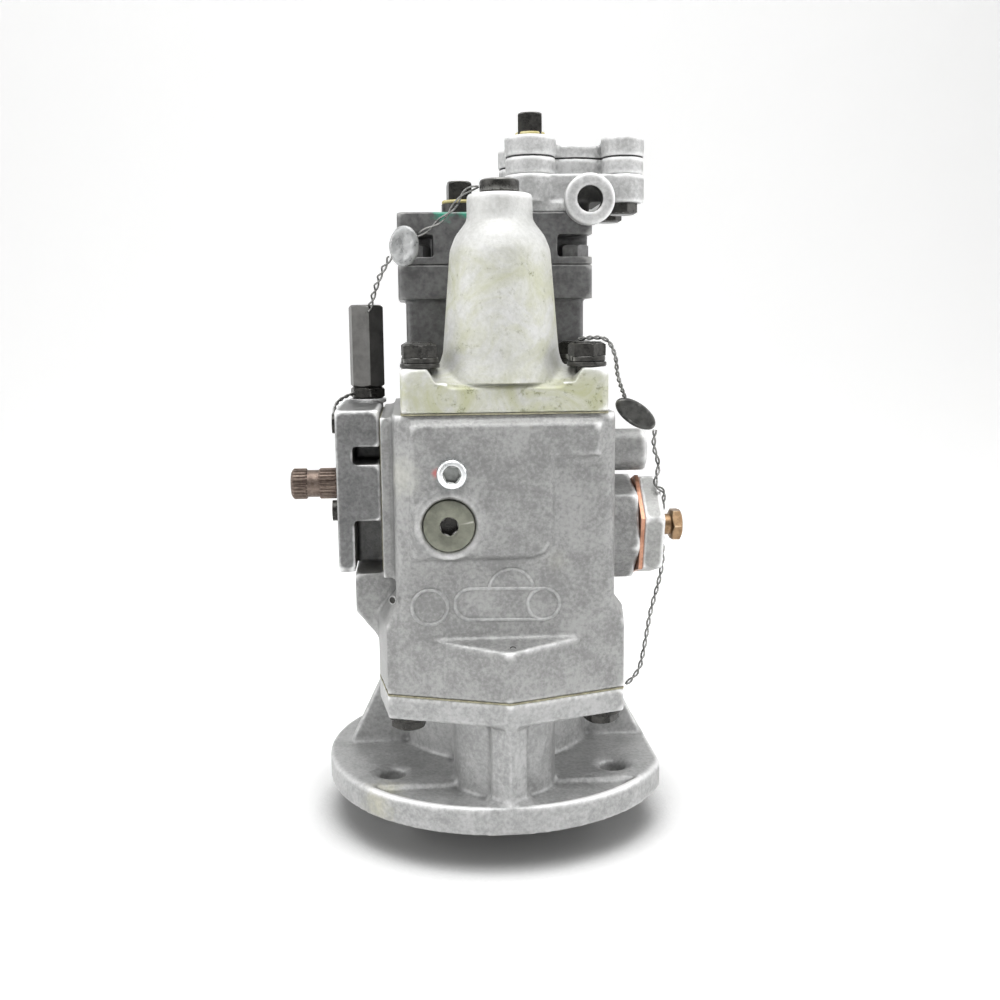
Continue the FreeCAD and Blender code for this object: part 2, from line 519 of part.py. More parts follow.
def make_main_housing():
    """The housing casting with its foot, front panel, throttle pad, belly and side bosses."""
    body = new_body("main_housing")
    low = GASKET_TOP
    tip = "plate_half * (plate_apex_y - face_y) / (plate_apex_y - plate_corner_y)"
    foot = [(f"-({tip})", "-face_y"), (tip, "-face_y")] + PLATE[1:]
    pad(body, outline(body, "top", low, foot), f"shoulder_z - {low}")
    bulge = [("0", "-plate_apex_y"), (tip, "-face_y"), (f"-({tip})", "-face_y")]
    pad(body, outline(body, "top", low, bulge), f"ledge_back_z - {low}")
    slope = [("-face_y", "ledge_back_z"), ("-plate_apex_y", "ledge_front_z"),
             ("-plate_apex_y - 3", "ledge_front_z - 0.8"), ("-plate_apex_y - 3", "ledge_back_z + 3"),
             ("-face_y", "ledge_back_z + 3")]
    pocket(body, outline(body, "side", "0", slope), "plate_half * 2", middle=True)
    wall = [("-face_half", "-face_y"), ("face_half", "-face_y", "face_corner"),
            ("wall_half", "-face_y + face_corner"), ("wall_half", "-plate_side_y"),
            ("wall_half", "plate_back_y"), ("-wall_half", "plate_back_y"), ("-wall_half", "-plate_side_y"),
            ("-wall_half", "-face_y + face_corner", "face_corner")]
    loft(body, outline(body, "top", "shoulder_z", foot), outline(body, "top", "shoulder_top_z", wall))
    pad(body, outline(body, "top", "shoulder_top_z", wall), "housing_top - shoulder_top_z")
    panel = [("-face_half", "panel_low_z"), ("panel_step_x - panel_round", "panel_low_z", "panel_round"),
             ("panel_step_x", "panel_low_z + panel_round"), ("panel_step_x", "panel_step_z"),
             ("face_half", "panel_step_z"), ("face_half", PANEL_TOP), ("-face_half", PANEL_TOP)]
    pad(body, outline(body, "front", "-face_y", panel), "panel_thick")
    face = num("-face_y - panel_thick")
    dress(body, "Chamfer", "panel_edge", lambda edge: abs(edge.BoundBox.YMax - face) < 0.01)
    seat = [("-pad_front_y", "pad_low_z"), ("pad_back_y", "pad_low_z"), ("pad_back_y", PAD_TOP),
            ("-pad_front_y", PAD_TOP)]
    pad(body, outline(body, "side", "-pad_x", seat), "pad_x - wall_half + 1")
    belly = [("-wall_half + 1", "belly_low_z"), ("-belly_x + belly_slope", "belly_low_z + belly_slope / 2"),
             ("-belly_x", "belly_mid_z"), ("-belly_x", "pad_low_z - 1"), ("-wall_half + 1", "pad_low_z - 1")]
    pad(body, outline(body, "front", "0", belly), "belly_half * 2", middle=True)
    knob = circles(body, "side", "wall_half - 1", [("-boss_y", "boss_z", "boss_radius")])
    pad(body, knob, "boss_end_x - wall_half + 1")
    plug = circles(body, "front", "-face_y", [("plug_x", "plug_z", "plug_boss_radius")])
    pad(body, plug, "panel_thick + plug_boss_proud")
    turns = [f"({60 * k} + cap_turn)" for k in range(6)]
    ring = [(f"-cap_y + cap_corner * cos{turn}", f"cap_z + cap_corner * sin{turn}") for turn in turns]
    pad(body, outline(body, "side", "wall_half - 1", ring), "cap_seat_x - wall_half + 1")
    # hollows
    pocket(body, circles(body, "top", low, CHAMBER), f"chamber_top_z - {low}", reverse=True)
    pocket(body, circles(body, "top", low, CAVITY), "gear_room_high", reverse=True)
    passage = circles(body, "top", low, [("0", "0", "passage_radius")])
    pocket(body, passage, f"housing_top - {low}", reverse=True)
    barrel = circles(body, "top", low, [("0", "-governor_y", "barrel_radius + seat_gap")])
    pocket(body, barrel, f"housing_top - {low}", reverse=True)
    throttle = circles(body, "side", "-pad_x", [("-throttle_y", "throttle_z", "throttle_radius + run_gap")])
    pocket(body, throttle, "pad_x + throttle_in_x + 1", reverse=True)
    screws = [(y, z, CLEAR_SCREW) for y, z in THROTTLE_SCREWS]
    pocket(body, circles(body, "side", "-pad_x", screws), "screw_deep", reverse=True)
    for x, z, radius in (("plug_x", "plug_z", "plug_radius"), ("vent_x", "vent_z", "vent_stem")):
        hole = circles(body, "front", "-plate_apex_y", [(x, z, f"{radius} + seat_gap")])
        pocket(body, hole, "plate_apex_y - face_y + plug_deep")
    cap_hole = circles(body, "side", "cap_seat_x", [("-cap_y", "cap_z", "cap_screw_radius + seat_gap")])
    pocket(body, cap_hole, "thread_deep")
    bolts = [(x, y, CLEAR_BOLT) for x, y in PLATE_BOLTS]
    pocket(body, circles(body, "top", low, bolts), "thread_deep", reverse=True)
    bolts = [(x, y, CLEAR_BOLT) for x, y in COVER_BOLTS] + [(x, y, CLEAR_PUMP_BOLT) for x, y in PUMP_BOLTS]
    pocket(body, circles(body, "top", "housing_top", bolts), "thread_deep + 1")
    return node(body)


def make_spring_cover():
    """Base plate with corner pads and the bell over the governor springs."""
    body = new_body("spring_cover_base")
    base = rounded("-cover_half", "-cover_front_y", "cover_half", "-cover_back_y", "cover_corner")
    pad(body, outline(body, "top", COVER_LOW, base), "cover_thick")
    front, deep = "-cover_front_y - 1", "-cover_front_y + scallop_deep"
    dip = [(front, f"{COVER_TOP} - scallop_drop"), (deep, COVER_TOP), (deep, f"{COVER_TOP} + 1"),
           (front, f"{COVER_TOP} + 1")]
    pocket(body, outline(body, "side", "0", dip), "scallop_half * 2", middle=True)
    bolts = [(x, y, CLEAR_BOLT) for x, y in COVER_BOLTS]
    pocket(body, circles(body, "top", COVER_TOP, bolts), "cover_thick")
    # the bell is turned about the governor axis
    bell = new_body("spring_bell", y="-governor_y")
    top = COVER_TOP
    profile = [("0", f"{top} - 1"), ("bell_foot_radius", f"{top} - 1"), ("bell_foot_radius", top),
               ("bell_low_radius", f"{top} + bell_foot_high"), ("bell_high_radius", "bell_shoulder_z"),
               ("bell_high_radius - 2.2", "bell_shoulder_z + 5.5"), ("neck_radius + 1.6", "neck_low_z - 2.2"),
               ("neck_radius", "neck_low_z"), ("neck_radius", "bell_top_z - 0.8"),
               ("neck_radius - 0.8", "bell_top_z"), ("0", "bell_top_z")]
    spin(bell, outline(bell, "front", "0", profile))
    return body, bell


def finish_spring_cover():
    """Joins base and bell, then bores the spring room and the plug's thread."""
    body, bell = make_spring_cover()
    bend_z = f"{COVER_TOP} + bell_foot_high"
    room = rod("bell_low_radius - bell_wall", f"{bend_z} - {COVER_LOW}", ("0", "-governor_y", COVER_LOW))
    taper = cone("bell_low_radius - bell_wall", "bell_high_radius - bell_wall", f"bell_floor_z - ({bend_z})",
                 ("0", "-governor_y", bend_z))
    thread = rod("idle_thread_radius + seat_gap", "bell_top_z - bell_floor_z + 2",
                 ("0", "-governor_y", "bell_floor_z - 1"))
    joined = fuse("spring_cover_casting", body, bell)
    return node(cut("spring_cover", joined, room, taper, thread))


def make_spring_cover_gasket():
    """The gasket under the spring cover."""
    body = new_body("spring_cover_gasket")
    base = rounded("-cover_half", "-cover_front_y", "cover_half", "-cover_back_y", "cover_corner")
    pad(body, outline(body, "top", "housing_top", base), "gasket_thick")
    holes = [("0", "-governor_y", "bell_low_radius - bell_wall")]
    holes += [(x, y, CLEAR_BOLT) for x, y in COVER_BOLTS]
    pocket(body, circles(body, "top", COVER_LOW, holes), "gasket_thick")
    return node(body)


def make_cover_bolts():
    """Four hex bolts on the spring cover, each with a lock washer on a flat washer."""
    flats, locks, bolts = [], [], []
    lock_z = f"{COVER_TOP} + washer_thick"
    head_z = f"{lock_z} + lock_thick"
    shank_z = "housing_top - thread_deep"
    for x, y in COVER_BOLTS:
        flats.append(washer("washer_radius", CLEAR_BOLT, "washer_thick", (x, y, COVER_TOP)))
        locks.append(washer("lock_radius", CLEAR_BOLT, "lock_thick", (x, y, lock_z)))
        bolts.append(fuse("bolt", hexagon("bolt_across", "bolt_head", (x, y, head_z)),
                          rod("bolt_radius", f"{head_z} - ({shank_z})", (x, y, shank_z))))
    node(group("spring_cover_flat_washers", flats))
    node(group("spring_cover_lock_washers", locks))
    node(group("spring_cover_bolts", bolts))


def make_plate_bolts():
    """Flanged hex bolts that come up through the joint plate from below."""
    bolts = []
    flange_z = "plate_low - plate_bolt_flange"
    for x, y in PLATE_BOLTS:
        head = hexagon("bolt_across", "bolt_head", (x, y, f"{flange_z} - bolt_head"))
        flange = rod("washer_radius - seat_gap * 2", "plate_bolt_flange", (x, y, flange_z))
        shank = rod("bolt_radius", "plate_high - plate_low + thread_deep - 1", (x, y, "plate_low"))
        bolts.append(fuse("bolt", head, flange, shank))
    node(group("front_cover_bolts", bolts))


# Gears

def gear_shape(teeth, module, height, addendum=1.0, turn=0.0, bore=0.0):
    """A spur gear with involute flanks, standing on z = 0, with a tooth on the X axis at turn 0."""
    angle = math.radians(num("pressure_angle"))
    pitch = teeth * module / 2
    base = pitch * math.cos(angle)
    tip = pitch + addendum * module
    root = pitch - 1.25 * module
    half = math.pi / 2 / teeth - num("backlash") / 4 / pitch

    def roll(radius):
        lean = math.acos(min(1.0, base / radius))
        return math.tan(lean) - lean

    start = max(base, root)
    radii = [start + (tip - start) * k / 3 for k in range(4)]
    flank = [(root, half + roll(pitch))] if root < base else []
    flank += [(radius, half + roll(pitch) - roll(radius)) for radius in radii]
    points = []
    for k in range(teeth):
        middle = 2 * math.pi * k / teeth + math.radians(turn)
        points += [(radius, middle - spread) for radius, spread in flank]
        points += [(radius, middle + spread) for radius, spread in reversed(flank)]
    corners = [FreeCAD.Vector(r * math.cos(a), r * math.sin(a), 0) for r, a in points]
    face = Part.Face(Part.makePolygon(corners + corners[:1]))
    shape = face.extrude(FreeCAD.Vector(0, 0, height))
    if bore:
        shape = shape.cut(Part.makeCylinder(bore, height))
    return shape


def make_gears():
    """Main gear and governor gear in the front cover, and the two gears of the gear pump."""
    thick = num("gear_thick")
    module = num("gear_module")
    main = int(num("main_teeth"))
    small = int(num("governor_teeth"))
    # both tooth counts are odd, so a tooth of one faces a gap of the other along -Y
    gear = solid_feature("main_gear", gear_shape(main, module, thick, 1.0, -90, num("shaft_radius")))
    node(place(gear, ("0", "0", "gear_low_z"), "z"))
    pinion = gear_shape(small, module, thick, 0.9, 90 + 180 / small, num("governor_shaft_radius"))
    node(place(solid_feature("governor_gear", pinion), ("0", "-governor_y", "gear_low_z"), "z"))
    teeth = int(num("pump_teeth"))
    module = num("pump_module")
    thick = num("pump_gear_thick")
    short = num("short_addendum")
    drive = gear_shape(teeth, module, thick, short, 90, num("shaft_radius"))
    node(place(solid_feature("pump_drive_gear", drive), ("0", "0", "pump_gear_low_z + 0.1"), "z"))
    driven = gear_shape(teeth, module, thick, short, -90 + 180 / teeth)
    out = num("driven_stub_long")
    stub = Part.makeCylinder(num("driven_stub_radius"), thick + 2 * out, FreeCAD.Vector(0, 0, -out))
    driven = driven.fuse(stub).removeSplitter()
    node(place(solid_feature("pump_driven_gear", driven), ("0", PUMP_SPACING, "pump_gear_low_z + 0.1"), "z"))


def make_drive():
    """Main shaft, splined coupling, bearing, seal and upper bush."""
    low = "coupling_low_z + socket_deep + run_gap"
    shaft = rod("shaft_radius", f"shaft_top_z - ({low})", ("0", "0", low))
    node(label_of(shaft, "main_shaft"))
    body = new_body("drive_coupling")
    pad(body, circles(body, "top", "coupling_low_z", [("0", "0", "coupling_radius")]), "coupling_long")
    rim = "coupling_radius - coupling_wall"
    bore = circles(body, "top", "coupling_low_z", [("0", "0", rim)])
    pocket(body, bore, "socket_deep", reverse=True)
    hole = circles(body, "top", "coupling_low_z", [("0", "0", "shaft_radius")])
    pocket(body, hole, "coupling_long", reverse=True)
    slot = [(f"{rim} - 1", "-spline_wide / 2"), (f"{rim} + spline_deep", "-spline_wide / 2"),
            (f"{rim} + spline_deep", "spline_wide / 2"), (f"{rim} - 1", "spline_wide / 2")]
    doc.recompute()
    key = pocket(body, outline(body, "top", "coupling_low_z", slot), "socket_deep", reverse=True)
    doc.recompute()
    pattern = body.newObject("PartDesign::PolarPattern", "coupling_spline_pattern")
    pattern.Originals = [key]
    pattern.Axis = (key.Profile[0], ["N_Axis"])
    pattern.Angle = 360
    bind(pattern, "Occurrences", "coupling_splines")
    body.Tip = pattern
    node(body)
    low = ("0", "0", "gear_low_z - seat_gap - bearing_thick")
    race = "bearing_race"
    for label, outer, inner in (
        ("main_bearing_outer", "bearing_radius", f"bearing_radius - {race}"),
        ("main_bearing_inner", f"shaft_radius + {race}", "shaft_radius"),
    ):
        node(washer(outer, inner, "bearing_thick", low, label=label))
    hole = "shaft_radius + run_gap"
    node(washer("seal_radius", hole, "seal_thick", ("0", "0", SEAL_LOW), label="shaft_seal"))
    low = ("0", "0", "housing_top - upper_bush_long - 2")
    node(washer("upper_bush_radius", hole, "upper_bush_long", low, label="upper_bush"))


def make_governor():
    """Governor shaft and carrier, two flyweights on their pins, the plunger and its barrel."""
    y = "-governor_y"
    low = "governor_foot_z + seat_gap"
    gear_top = "(gear_low_z + gear_thick)"
    shaft = rod("governor_shaft_radius", f"{gear_top} - ({low})", ("0", y, low))
    carrier = rod("carrier_radius", "carrier_thick", ("0", y, gear_top))
    ears, pins, pin_holes = [], [], []
    ear_low = "chamber_low_z + seat_gap"
    inner = "(weight_wide / 2 + ear_gap)"
    for sx in ("", "-"):
        x = f"{sx}weight_pivot_r"
        for ear_y in (f"{y} + {inner}", f"{y} - {inner} - ear_wide"):
            high = f"weight_pivot_z + ear_half - ({ear_low})"
            ears.append(block("2 * ear_half", "ear_wide", high, (f"{x} - ear_half", ear_y, ear_low)))
        across = f"2 * ({inner} + ear_wide)"
        at = (x, f"{y} - {inner} - ear_wide", "weight_pivot_z")
        pins.append(rod("weight_pin_radius", across, at, axis="y"))
        pin_holes.append(rod("weight_pin_radius", across, at, axis="y"))
    stem_low = f"{gear_top} - stem_deep"
    stem_hole = rod("stem_radius + run_gap", "3 * stem_deep", ("0", y, f"{gear_top} - 2 * stem_deep"))
    node(cut("governor_carrier", fuse("carrier_blank", shaft, carrier, *ears), stem_hole, *pin_holes))
    node(group("weight_pins", pins))
    for label, side in (("governor_weight_right", ""), ("governor_weight_left", "-")):
        body = new_body(label, x=f"{side}weight_pivot_r", y=y, z="weight_pivot_z")
        profile = [(f"{side}(-toe_reach)", "0"), (f"{side}(-toe_reach)", "toe_thick"),
                   (f"{side}(-toe_root)", "toe_thick"), (f"{side}(-toe_root)", "weight_high"),
                   (f"{side}weight_out", "weight_high"), (f"{side}weight_out", "ear_half"),
                   (f"{side}ear_half", "-weight_foot"), (f"{side}(-toe_root)", "-weight_foot")]
        pad(body, outline(body, "front", "0", profile), "weight_wide", middle=True)
        hole = circles(body, "front", "0", [("0", "0", "weight_pin_radius + run_gap")])
        pocket(body, hole, "weight_wide + 2", middle=True)
        node(body)
    collar_low = "(weight_pivot_z + toe_thick + toe_gap)"
    stem = rod("stem_radius", f"{collar_low} - ({stem_low})", ("0", y, stem_low))
    collar = rod("collar_radius", "collar_thick", ("0", y, collar_low))
    spindle = rod("plunger_radius", f"{SEAT_LOW} - {collar_low}", ("0", y, collar_low))
    node(fuse("governor_plunger", stem, collar, spindle))
    long = "barrel_high_z - barrel_low_z"
    barrel = rod("barrel_radius", long, ("0", y, "barrel_low_z"))
    grooves = [washer("barrel_radius + 1", "barrel_radius - barrel_groove_deep", "barrel_groove", ("0", y, z))
               for z in ("barrel_groove_z", "throttle_z - barrel_groove / 2")]
    bore = rod("plunger_radius + run_gap", long, ("0", y, "barrel_low_z"))
    node(cut("governor_barrel", barrel, bore, *grooves))
    long = "gear_low_z - gear_room - governor_foot_z"
    node(washer("governor_shaft_radius + bush_wall", "governor_shaft_radius + run_gap", long,
                ("0", y, "governor_foot_z"), label="governor_bush"))
    node(label_of(rod("seat_radius", "seat_thick", ("0", y, SEAT_LOW)), "spring_seat"))
    node(washer("seat_radius", "idle_thread_radius * 0.75", "stop_thick", ("0", y, "spring_top_z"),
                label="spring_stop"))


def label_of(thing, label):
    """The thing under a node's name."""
    thing.Label = label
    return thing


def make_spring(label, radius, wire, turns):
    """A coil spring between the plunger's seat and the spring stop, swept along a helix."""
    gap = num("run_gap") * 2
    low = num(f"{SEAT_LOW} + seat_thick") + wire + gap
    height = num("spring_top_z") - wire - gap - low
    step = 2 * math.pi / num("wire_sides")
    angles = [step * k for k in range(int(num("wire_sides")))]
    ring = [FreeCAD.Vector(radius + wire * math.cos(a), 0, wire * math.sin(a)) for a in angles]
    section = Part.makePolygon(ring + ring[:1])
    helix = Part.makeHelix(height / turns, height, radius)
    thing = solid_feature(label, Part.Wire(helix).makePipeShell([section], True, True))
    place(thing, ("0", "-governor_y", f"{SEAT_LOW} + seat_thick + {wire} + 2 * run_gap"), "z")
    return node(thing)


def make_idle_plug():
    """Drilled plug in the bell's neck, with a stem that holds the spring stop."""
    y = "-governor_y"
    head = rod("idle_plug_radius", "idle_plug_high", ("0", y, "bell_top_z"))
    stem_low = "(spring_top_z + stop_thick)"
    stem = rod("idle_thread_radius", f"bell_top_z - {stem_low}", ("0", y, stem_low))
    at = ("-2 * idle_plug_radius", y, "bell_top_z + idle_plug_high / 2")
    hole = rod("wire_hole", "4 * idle_plug_radius", at, axis="x")
    node(cut("idle_plug", fuse("idle_plug_blank", head, stem), hole))


def make_throttle_cover():
    """The cover with its open front pockets, its gasket and its screws."""
    y, z = "-throttle_y", "throttle_z"
    face = "-(pad_x + throttle_gasket)"
    body = new_body("throttle_cover")
    plate = rounded("-throttle_front_y", "throttle_low_z", "throttle_back_y", "throttle_high_z",
                    "throttle_corner")
    wide = "throttle_plate_out - pad_x - throttle_gasket"
    pad(body, outline(body, "side", "-throttle_plate_out", plate), wide)
    web = "throttle_plate_in - pad_x - throttle_gasket"
    for low, high in (("middle_high_z", "upper_block_z"), ("throttle_low_z - 1", "middle_low_z")):
        gap = [("-throttle_front_y - 1", low), ("-pocket_back_y", low), ("-pocket_back_y", high),
               ("-throttle_front_y - 1", high)]
        pocket(body, outline(body, "side", "-throttle_plate_in", gap), web + " + 1", reverse=True)
    hole = circles(body, "side", "-throttle_plate_out", [(y, z, "throttle_radius + run_gap")])
    pocket(body, hole, wide, reverse=True)
    screws = [(sy, sz, CLEAR_SCREW) for sy, sz in THROTTLE_SCREWS]
    pocket(body, circles(body, "side", "-throttle_plate_out", screws), wide, reverse=True)
    boss = circles(body, "top", "throttle_high_z", [("-tamper_x", "-tamper_y", "tamper_boss_radius")])
    pad(body, boss, "tamper_low_z - nut_high - throttle_high_z")
    stop = circles(body, "top", "tamper_low_z", [("-tamper_x", "-tamper_y", "stop_radius + seat_gap")])
    pocket(body, stop, "nut_high + stop_below + 1")
    node(body)
    sheet_body = new_body("throttle_cover_gasket")
    seat = [("-throttle_front_y + 1", "pad_low_z + 1"), ("throttle_back_y - 1", "pad_low_z + 1"),
            ("throttle_back_y - 1", f"{PAD_TOP} - 1"), ("-throttle_front_y + 1", f"{PAD_TOP} - 1")]
    pad(sheet_body, outline(sheet_body, "side", face, seat), "throttle_gasket")
    holes = [(y, z, "throttle_radius + gear_room"), *screws]
    pocket(sheet_body, circles(sheet_body, "side", face, holes), "throttle_gasket", reverse=True)
    node(sheet_body)
    parts = []
    for sy, sz in THROTTLE_SCREWS:
        head = rod("screw_head_radius", "screw_head", ("-throttle_plate_out - screw_head", sy, sz), axis="x")
        long = "throttle_plate_out - pad_x + screw_deep - 1"
        shank = rod("screw_radius", long, ("-throttle_plate_out", sy, sz), axis="x")
        parts.append(fuse("screw", head, shank))
    node(group("throttle_cover_screws", parts))


def make_throttle_shaft():
    """The shaft with its clamp groove and fuel port, and the tamper proof stop screw."""
    y, z = "-throttle_y", "throttle_z"
    neck = "throttle_plate_out - throttle_corner"
    inner = rod("throttle_radius", f"{neck} + throttle_in_x", (f"-({neck})", y, z), axis="x")
    outer = rod("spline_radius", f"throttle_out_x - ({neck})", ("-throttle_out_x", y, z), axis="x")
    at = ("-groove_x - groove_wide / 2", y, z)
    groove = washer("spline_radius + 1", "groove_radius", "groove_wide", at, axis="x")
    port = rod("throttle_port", "4 * throttle_radius", ("0", f"{y} - 2 * throttle_radius", z), axis="y")
    node(cut("throttle_shaft", fuse("throttle_blank", inner, outer), groove, port))
    x, y = "-tamper_x", "-tamper_y"
    nut_z = "tamper_low_z - nut_high"
    screw = rod("stop_radius", "stop_below + nut_high + stop_above", (x, y, f"{nut_z} - stop_below"))
    node(label_of(screw, "throttle_stop_screw"))
    turn = num("tamper_turn")
    hole = "stop_radius + seat_gap"
    nut = hexagon("tamper_across", "nut_high", (x, y, nut_z), turn=turn)
    node(cut("stop_lock_nut", nut, rod(hole, "nut_high", (x, y, nut_z))))
    cap = hexagon("tamper_across", "tamper_high_z - tamper_low_z", (x, y, "tamper_low_z"), turn=turn)
    node(cut("tamper_cap", cap, rod(hole, "tamper_deep", (x, y, "tamper_low_z"))))


def make_front_plugs():
    """The large socket plug and the small plated vent screw on the front panel."""
    face = "-(face_y + panel_thick + plug_boss_proud + plug_proud)"
    stem = "plug_boss_proud + plug_proud + panel_thick + plug_deep"
    plug = rod("plug_radius", stem, ("plug_x", face, "plug_z"), axis="y")
    socket = hexagon("plug_hex", "socket_hex_deep", ("plug_x", face, "plug_z"), axis="y")
    node(cut("front_socket_plug", plug, socket))
    at = ("vent_x", "-(face_y + panel_thick + vent_proud)", "vent_z")
    head = rod("vent_radius", "vent_proud", at, axis="y")
    stem = rod("vent_stem", "vent_proud + panel_thick + plug_deep - 1", at, axis="y")
    socket = hexagon("vent_hex", "vent_hex_deep", at, axis="y")
    node(cut("vent_screw", fuse("vent_blank", head, stem), socket))


def make_gear_pump():
    """Gear pump body and cover on top of the housing, with their bolts and a square head plug."""
    low = COVER_LOW
    lower = rounded("-pump_low_half", "-pump_low_front_y", "pump_low_half", "pump_back_y", "pump_corner")
    upper = rounded("-pump_half", "-pump_front_y", "pump_half", "pump_back_y", "pump_corner")
    bolts = [(x, y, CLEAR_PUMP_BOLT) for x, y in PUMP_BOLTS]
    body = new_body("gear_pump_body")
    pad(body, outline(body, "top", low, lower), f"pump_flange_z - {low}")
    pad(body, outline(body, "top", "pump_flange_z", upper), "pump_joint_z - pump_flange_z")
    tip = f"{PUMP_PITCH} + pump_module * short_addendum + run_gap"
    deep = "pump_joint_z - pump_gear_low_z"
    for y in ("0", PUMP_SPACING):
        pocket(body, circles(body, "top", "pump_joint_z", [("0", y, tip)]), deep)
    through = [("0", "0", "shaft_radius + run_gap"), *bolts]
    pocket(body, circles(body, "top", "pump_joint_z", through), f"pump_joint_z - {low}")
    stub = circles(body, "top", "pump_joint_z", [("0", PUMP_SPACING, "driven_stub_radius + run_gap")])
    pocket(body, stub, f"{deep} + driven_stub_long + 1")
    ports = [(x, f"{PUMP_SPACING} / 2", "port_bore_radius") for x in ("-port_hole_x", "port_hole_x")]
    for port in ports:
        pocket(body, circles(body, "top", "pump_joint_z", [port]), deep)
    node(body)
    foot = new_body("gear_pump_gasket")
    pad(foot, outline(foot, "top", "housing_top", lower), "gasket_thick")
    pocket(foot, circles(foot, "top", low, [*bolts, ("0", "0", "passage_radius")]), "gasket_thick")
    node(foot)
    make_gear_pump_cover(upper, bolts)


def make_gear_pump_cover(upper, bolts):
    """The pump's cover, open at its four corners for the bolt heads, the bolts and the plug."""
    cover = new_body("gear_pump_cover")
    pad(cover, outline(cover, "top", "pump_joint_z", upper), "pump_top_z - pump_joint_z")
    bores = [("0", "0", "shaft_radius + run_gap"), ("0", PUMP_SPACING, "driven_stub_radius + run_gap")]
    room = "shaft_top_z - pump_joint_z + 1"
    pocket(cover, circles(cover, "top", "pump_joint_z", bores), room, reverse=True)
    floor = "(pump_joint_z + pump_recess_floor)"
    for x, y in PUMP_BOLTS:
        out_x = f"{x} * 2"
        out_y = f"{y} - pump_recess * 2" if y.startswith("-") else f"{y} + pump_recess * 2"
        in_x = f"{x} + pump_recess" if x.startswith("-") else f"{x} - pump_recess"
        in_y = f"{y} + pump_recess" if y.startswith("-") else f"{y} - pump_recess"
        corner = [(in_x, in_y), (out_x, in_y), (out_x, out_y), (in_x, out_y)]
        high = "pump_recess_high - pump_recess_floor"
        pocket(cover, outline(cover, "top", floor, corner), high, reverse=True)
    pocket(cover, circles(cover, "top", "pump_top_z", bolts), "pump_top_z - pump_joint_z")
    at = ("pump_plug_x", "pump_plug_y")
    plug = circles(cover, "top", "pump_top_z", [(*at, "pump_plug_radius + seat_gap")])
    pocket(cover, plug, "pump_plug_deep + 1")
    node(cover)
    heads = []
    for x, y in PUMP_BOLTS:
        head = hexagon("small_across", "bolt_head", (x, y, floor))
        foot = "(housing_top - thread_deep)"
        shank = rod("pump_bolt_radius", f"{floor} - {foot}", (x, y, foot))
        heads.append(fuse("pump_bolt", head, shank))
    node(group("gear_pump_bolts", heads))
    collar = rod("pump_collar_radius", "pump_collar_high", (*at, "pump_top_z"))
    square = hexagon("square_across", "square_high", (*at, "pump_top_z + pump_collar_high"), sides=4, turn=45)
    stem = rod("pump_plug_radius", "pump_plug_deep", (*at, "pump_top_z - pump_plug_deep"))
    node(fuse("gear_pump_plug", collar, square, stem))


def lobed(body, height, shrink="0"):
    """The damper's outline at one height: a round middle, then four corner lobes."""
    rings = [("damper_x", "damper_y", "damper_round"), *LOBES]
    return [circles(body, "top", height, [(x, y, f"{radius} - {shrink}")]) for x, y, radius in rings]


def make_damper():
    """Port block on the gear pump, and the two lobed shells that clamp the diaphragm."""
    body = new_body("damper_port_block")
    base = rounded("block_left_x", "-pump_front_y + 1", "pump_half - 1", "block_back_y", "pump_corner")
    pad(body, outline(body, "top", "pump_top_z", base), "block_low_z - pump_top_z")
    thick = "block_high_z - block_low_z"
    for sketch in lobed(body, "block_low_z"):
        pad(body, sketch, thick)
    reach_y = "(lobe_y + slab_past)"
    slab = [("damper_x - lobe_x", f"damper_y - {reach_y}"), ("damper_x + lobe_x", f"damper_y - {reach_y}"),
            ("damper_x + lobe_x", f"damper_y + {reach_y}"), ("damper_x - lobe_x", f"damper_y + {reach_y}")]
    pad(body, outline(body, "top", "block_low_z", slab), thick)
    deep = "port_front_y - pump_front_y - 0.5"
    port = circles(body, "front", "-port_front_y", [("port_x", "port_z", "port_radius")])
    pad(body, port, deep, reverse=True)
    bore = circles(body, "front", "-port_front_y", [("port_x", "port_z", "port_hole_radius")])
    pocket(body, bore, deep)
    node(body)
    room = [("damper_x", "damper_y", "membrane_radius")]
    lower = new_body("damper_lower_shell")
    for sketch in lobed(lower, "block_high_z", "shell_step"):
        pad(lower, sketch, "shell_split_z - diaphragm_thick - block_high_z")
    pocket(lower, circles(lower, "top", "shell_split_z", room), "membrane_room")
    node(lower)
    skin = new_body("damper_diaphragm")
    for sketch in lobed(skin, "shell_split_z - diaphragm_thick", "2 * shell_step"):
        pad(skin, sketch, "diaphragm_thick")
    node(skin)
    upper = new_body("damper_top_shell")
    middle, *corners = lobed(upper, "shell_split_z")
    pad(upper, middle, "shell_top_z - shell_split_z")
    for sketch in corners:
        pad(upper, sketch, "lobe_top_z - shell_split_z")
    pocket(upper, circles(upper, "top", "shell_split_z", room), "membrane_room", reverse=True)
    node(upper)
    low = "block_low_z - small_head"
    bolts = [hexagon("small_across", "small_head", ("damper_x + lobe_x", y, low))
             for y in ("damper_y - lobe_y", "damper_y + lobe_y")]
    node(group("damper_bolts", bolts))
    at = ("damper_x - lobe_x", "damper_y - lobe_y")
    ring = rod("damper_ring_radius", "damper_ring_high", (*at, "lobe_top_z"))
    square = hexagon("square_across", "square_high", (*at, "lobe_top_z + 0.4"), sides=4, turn=45)
    node(fuse("damper_plug", ring, square))


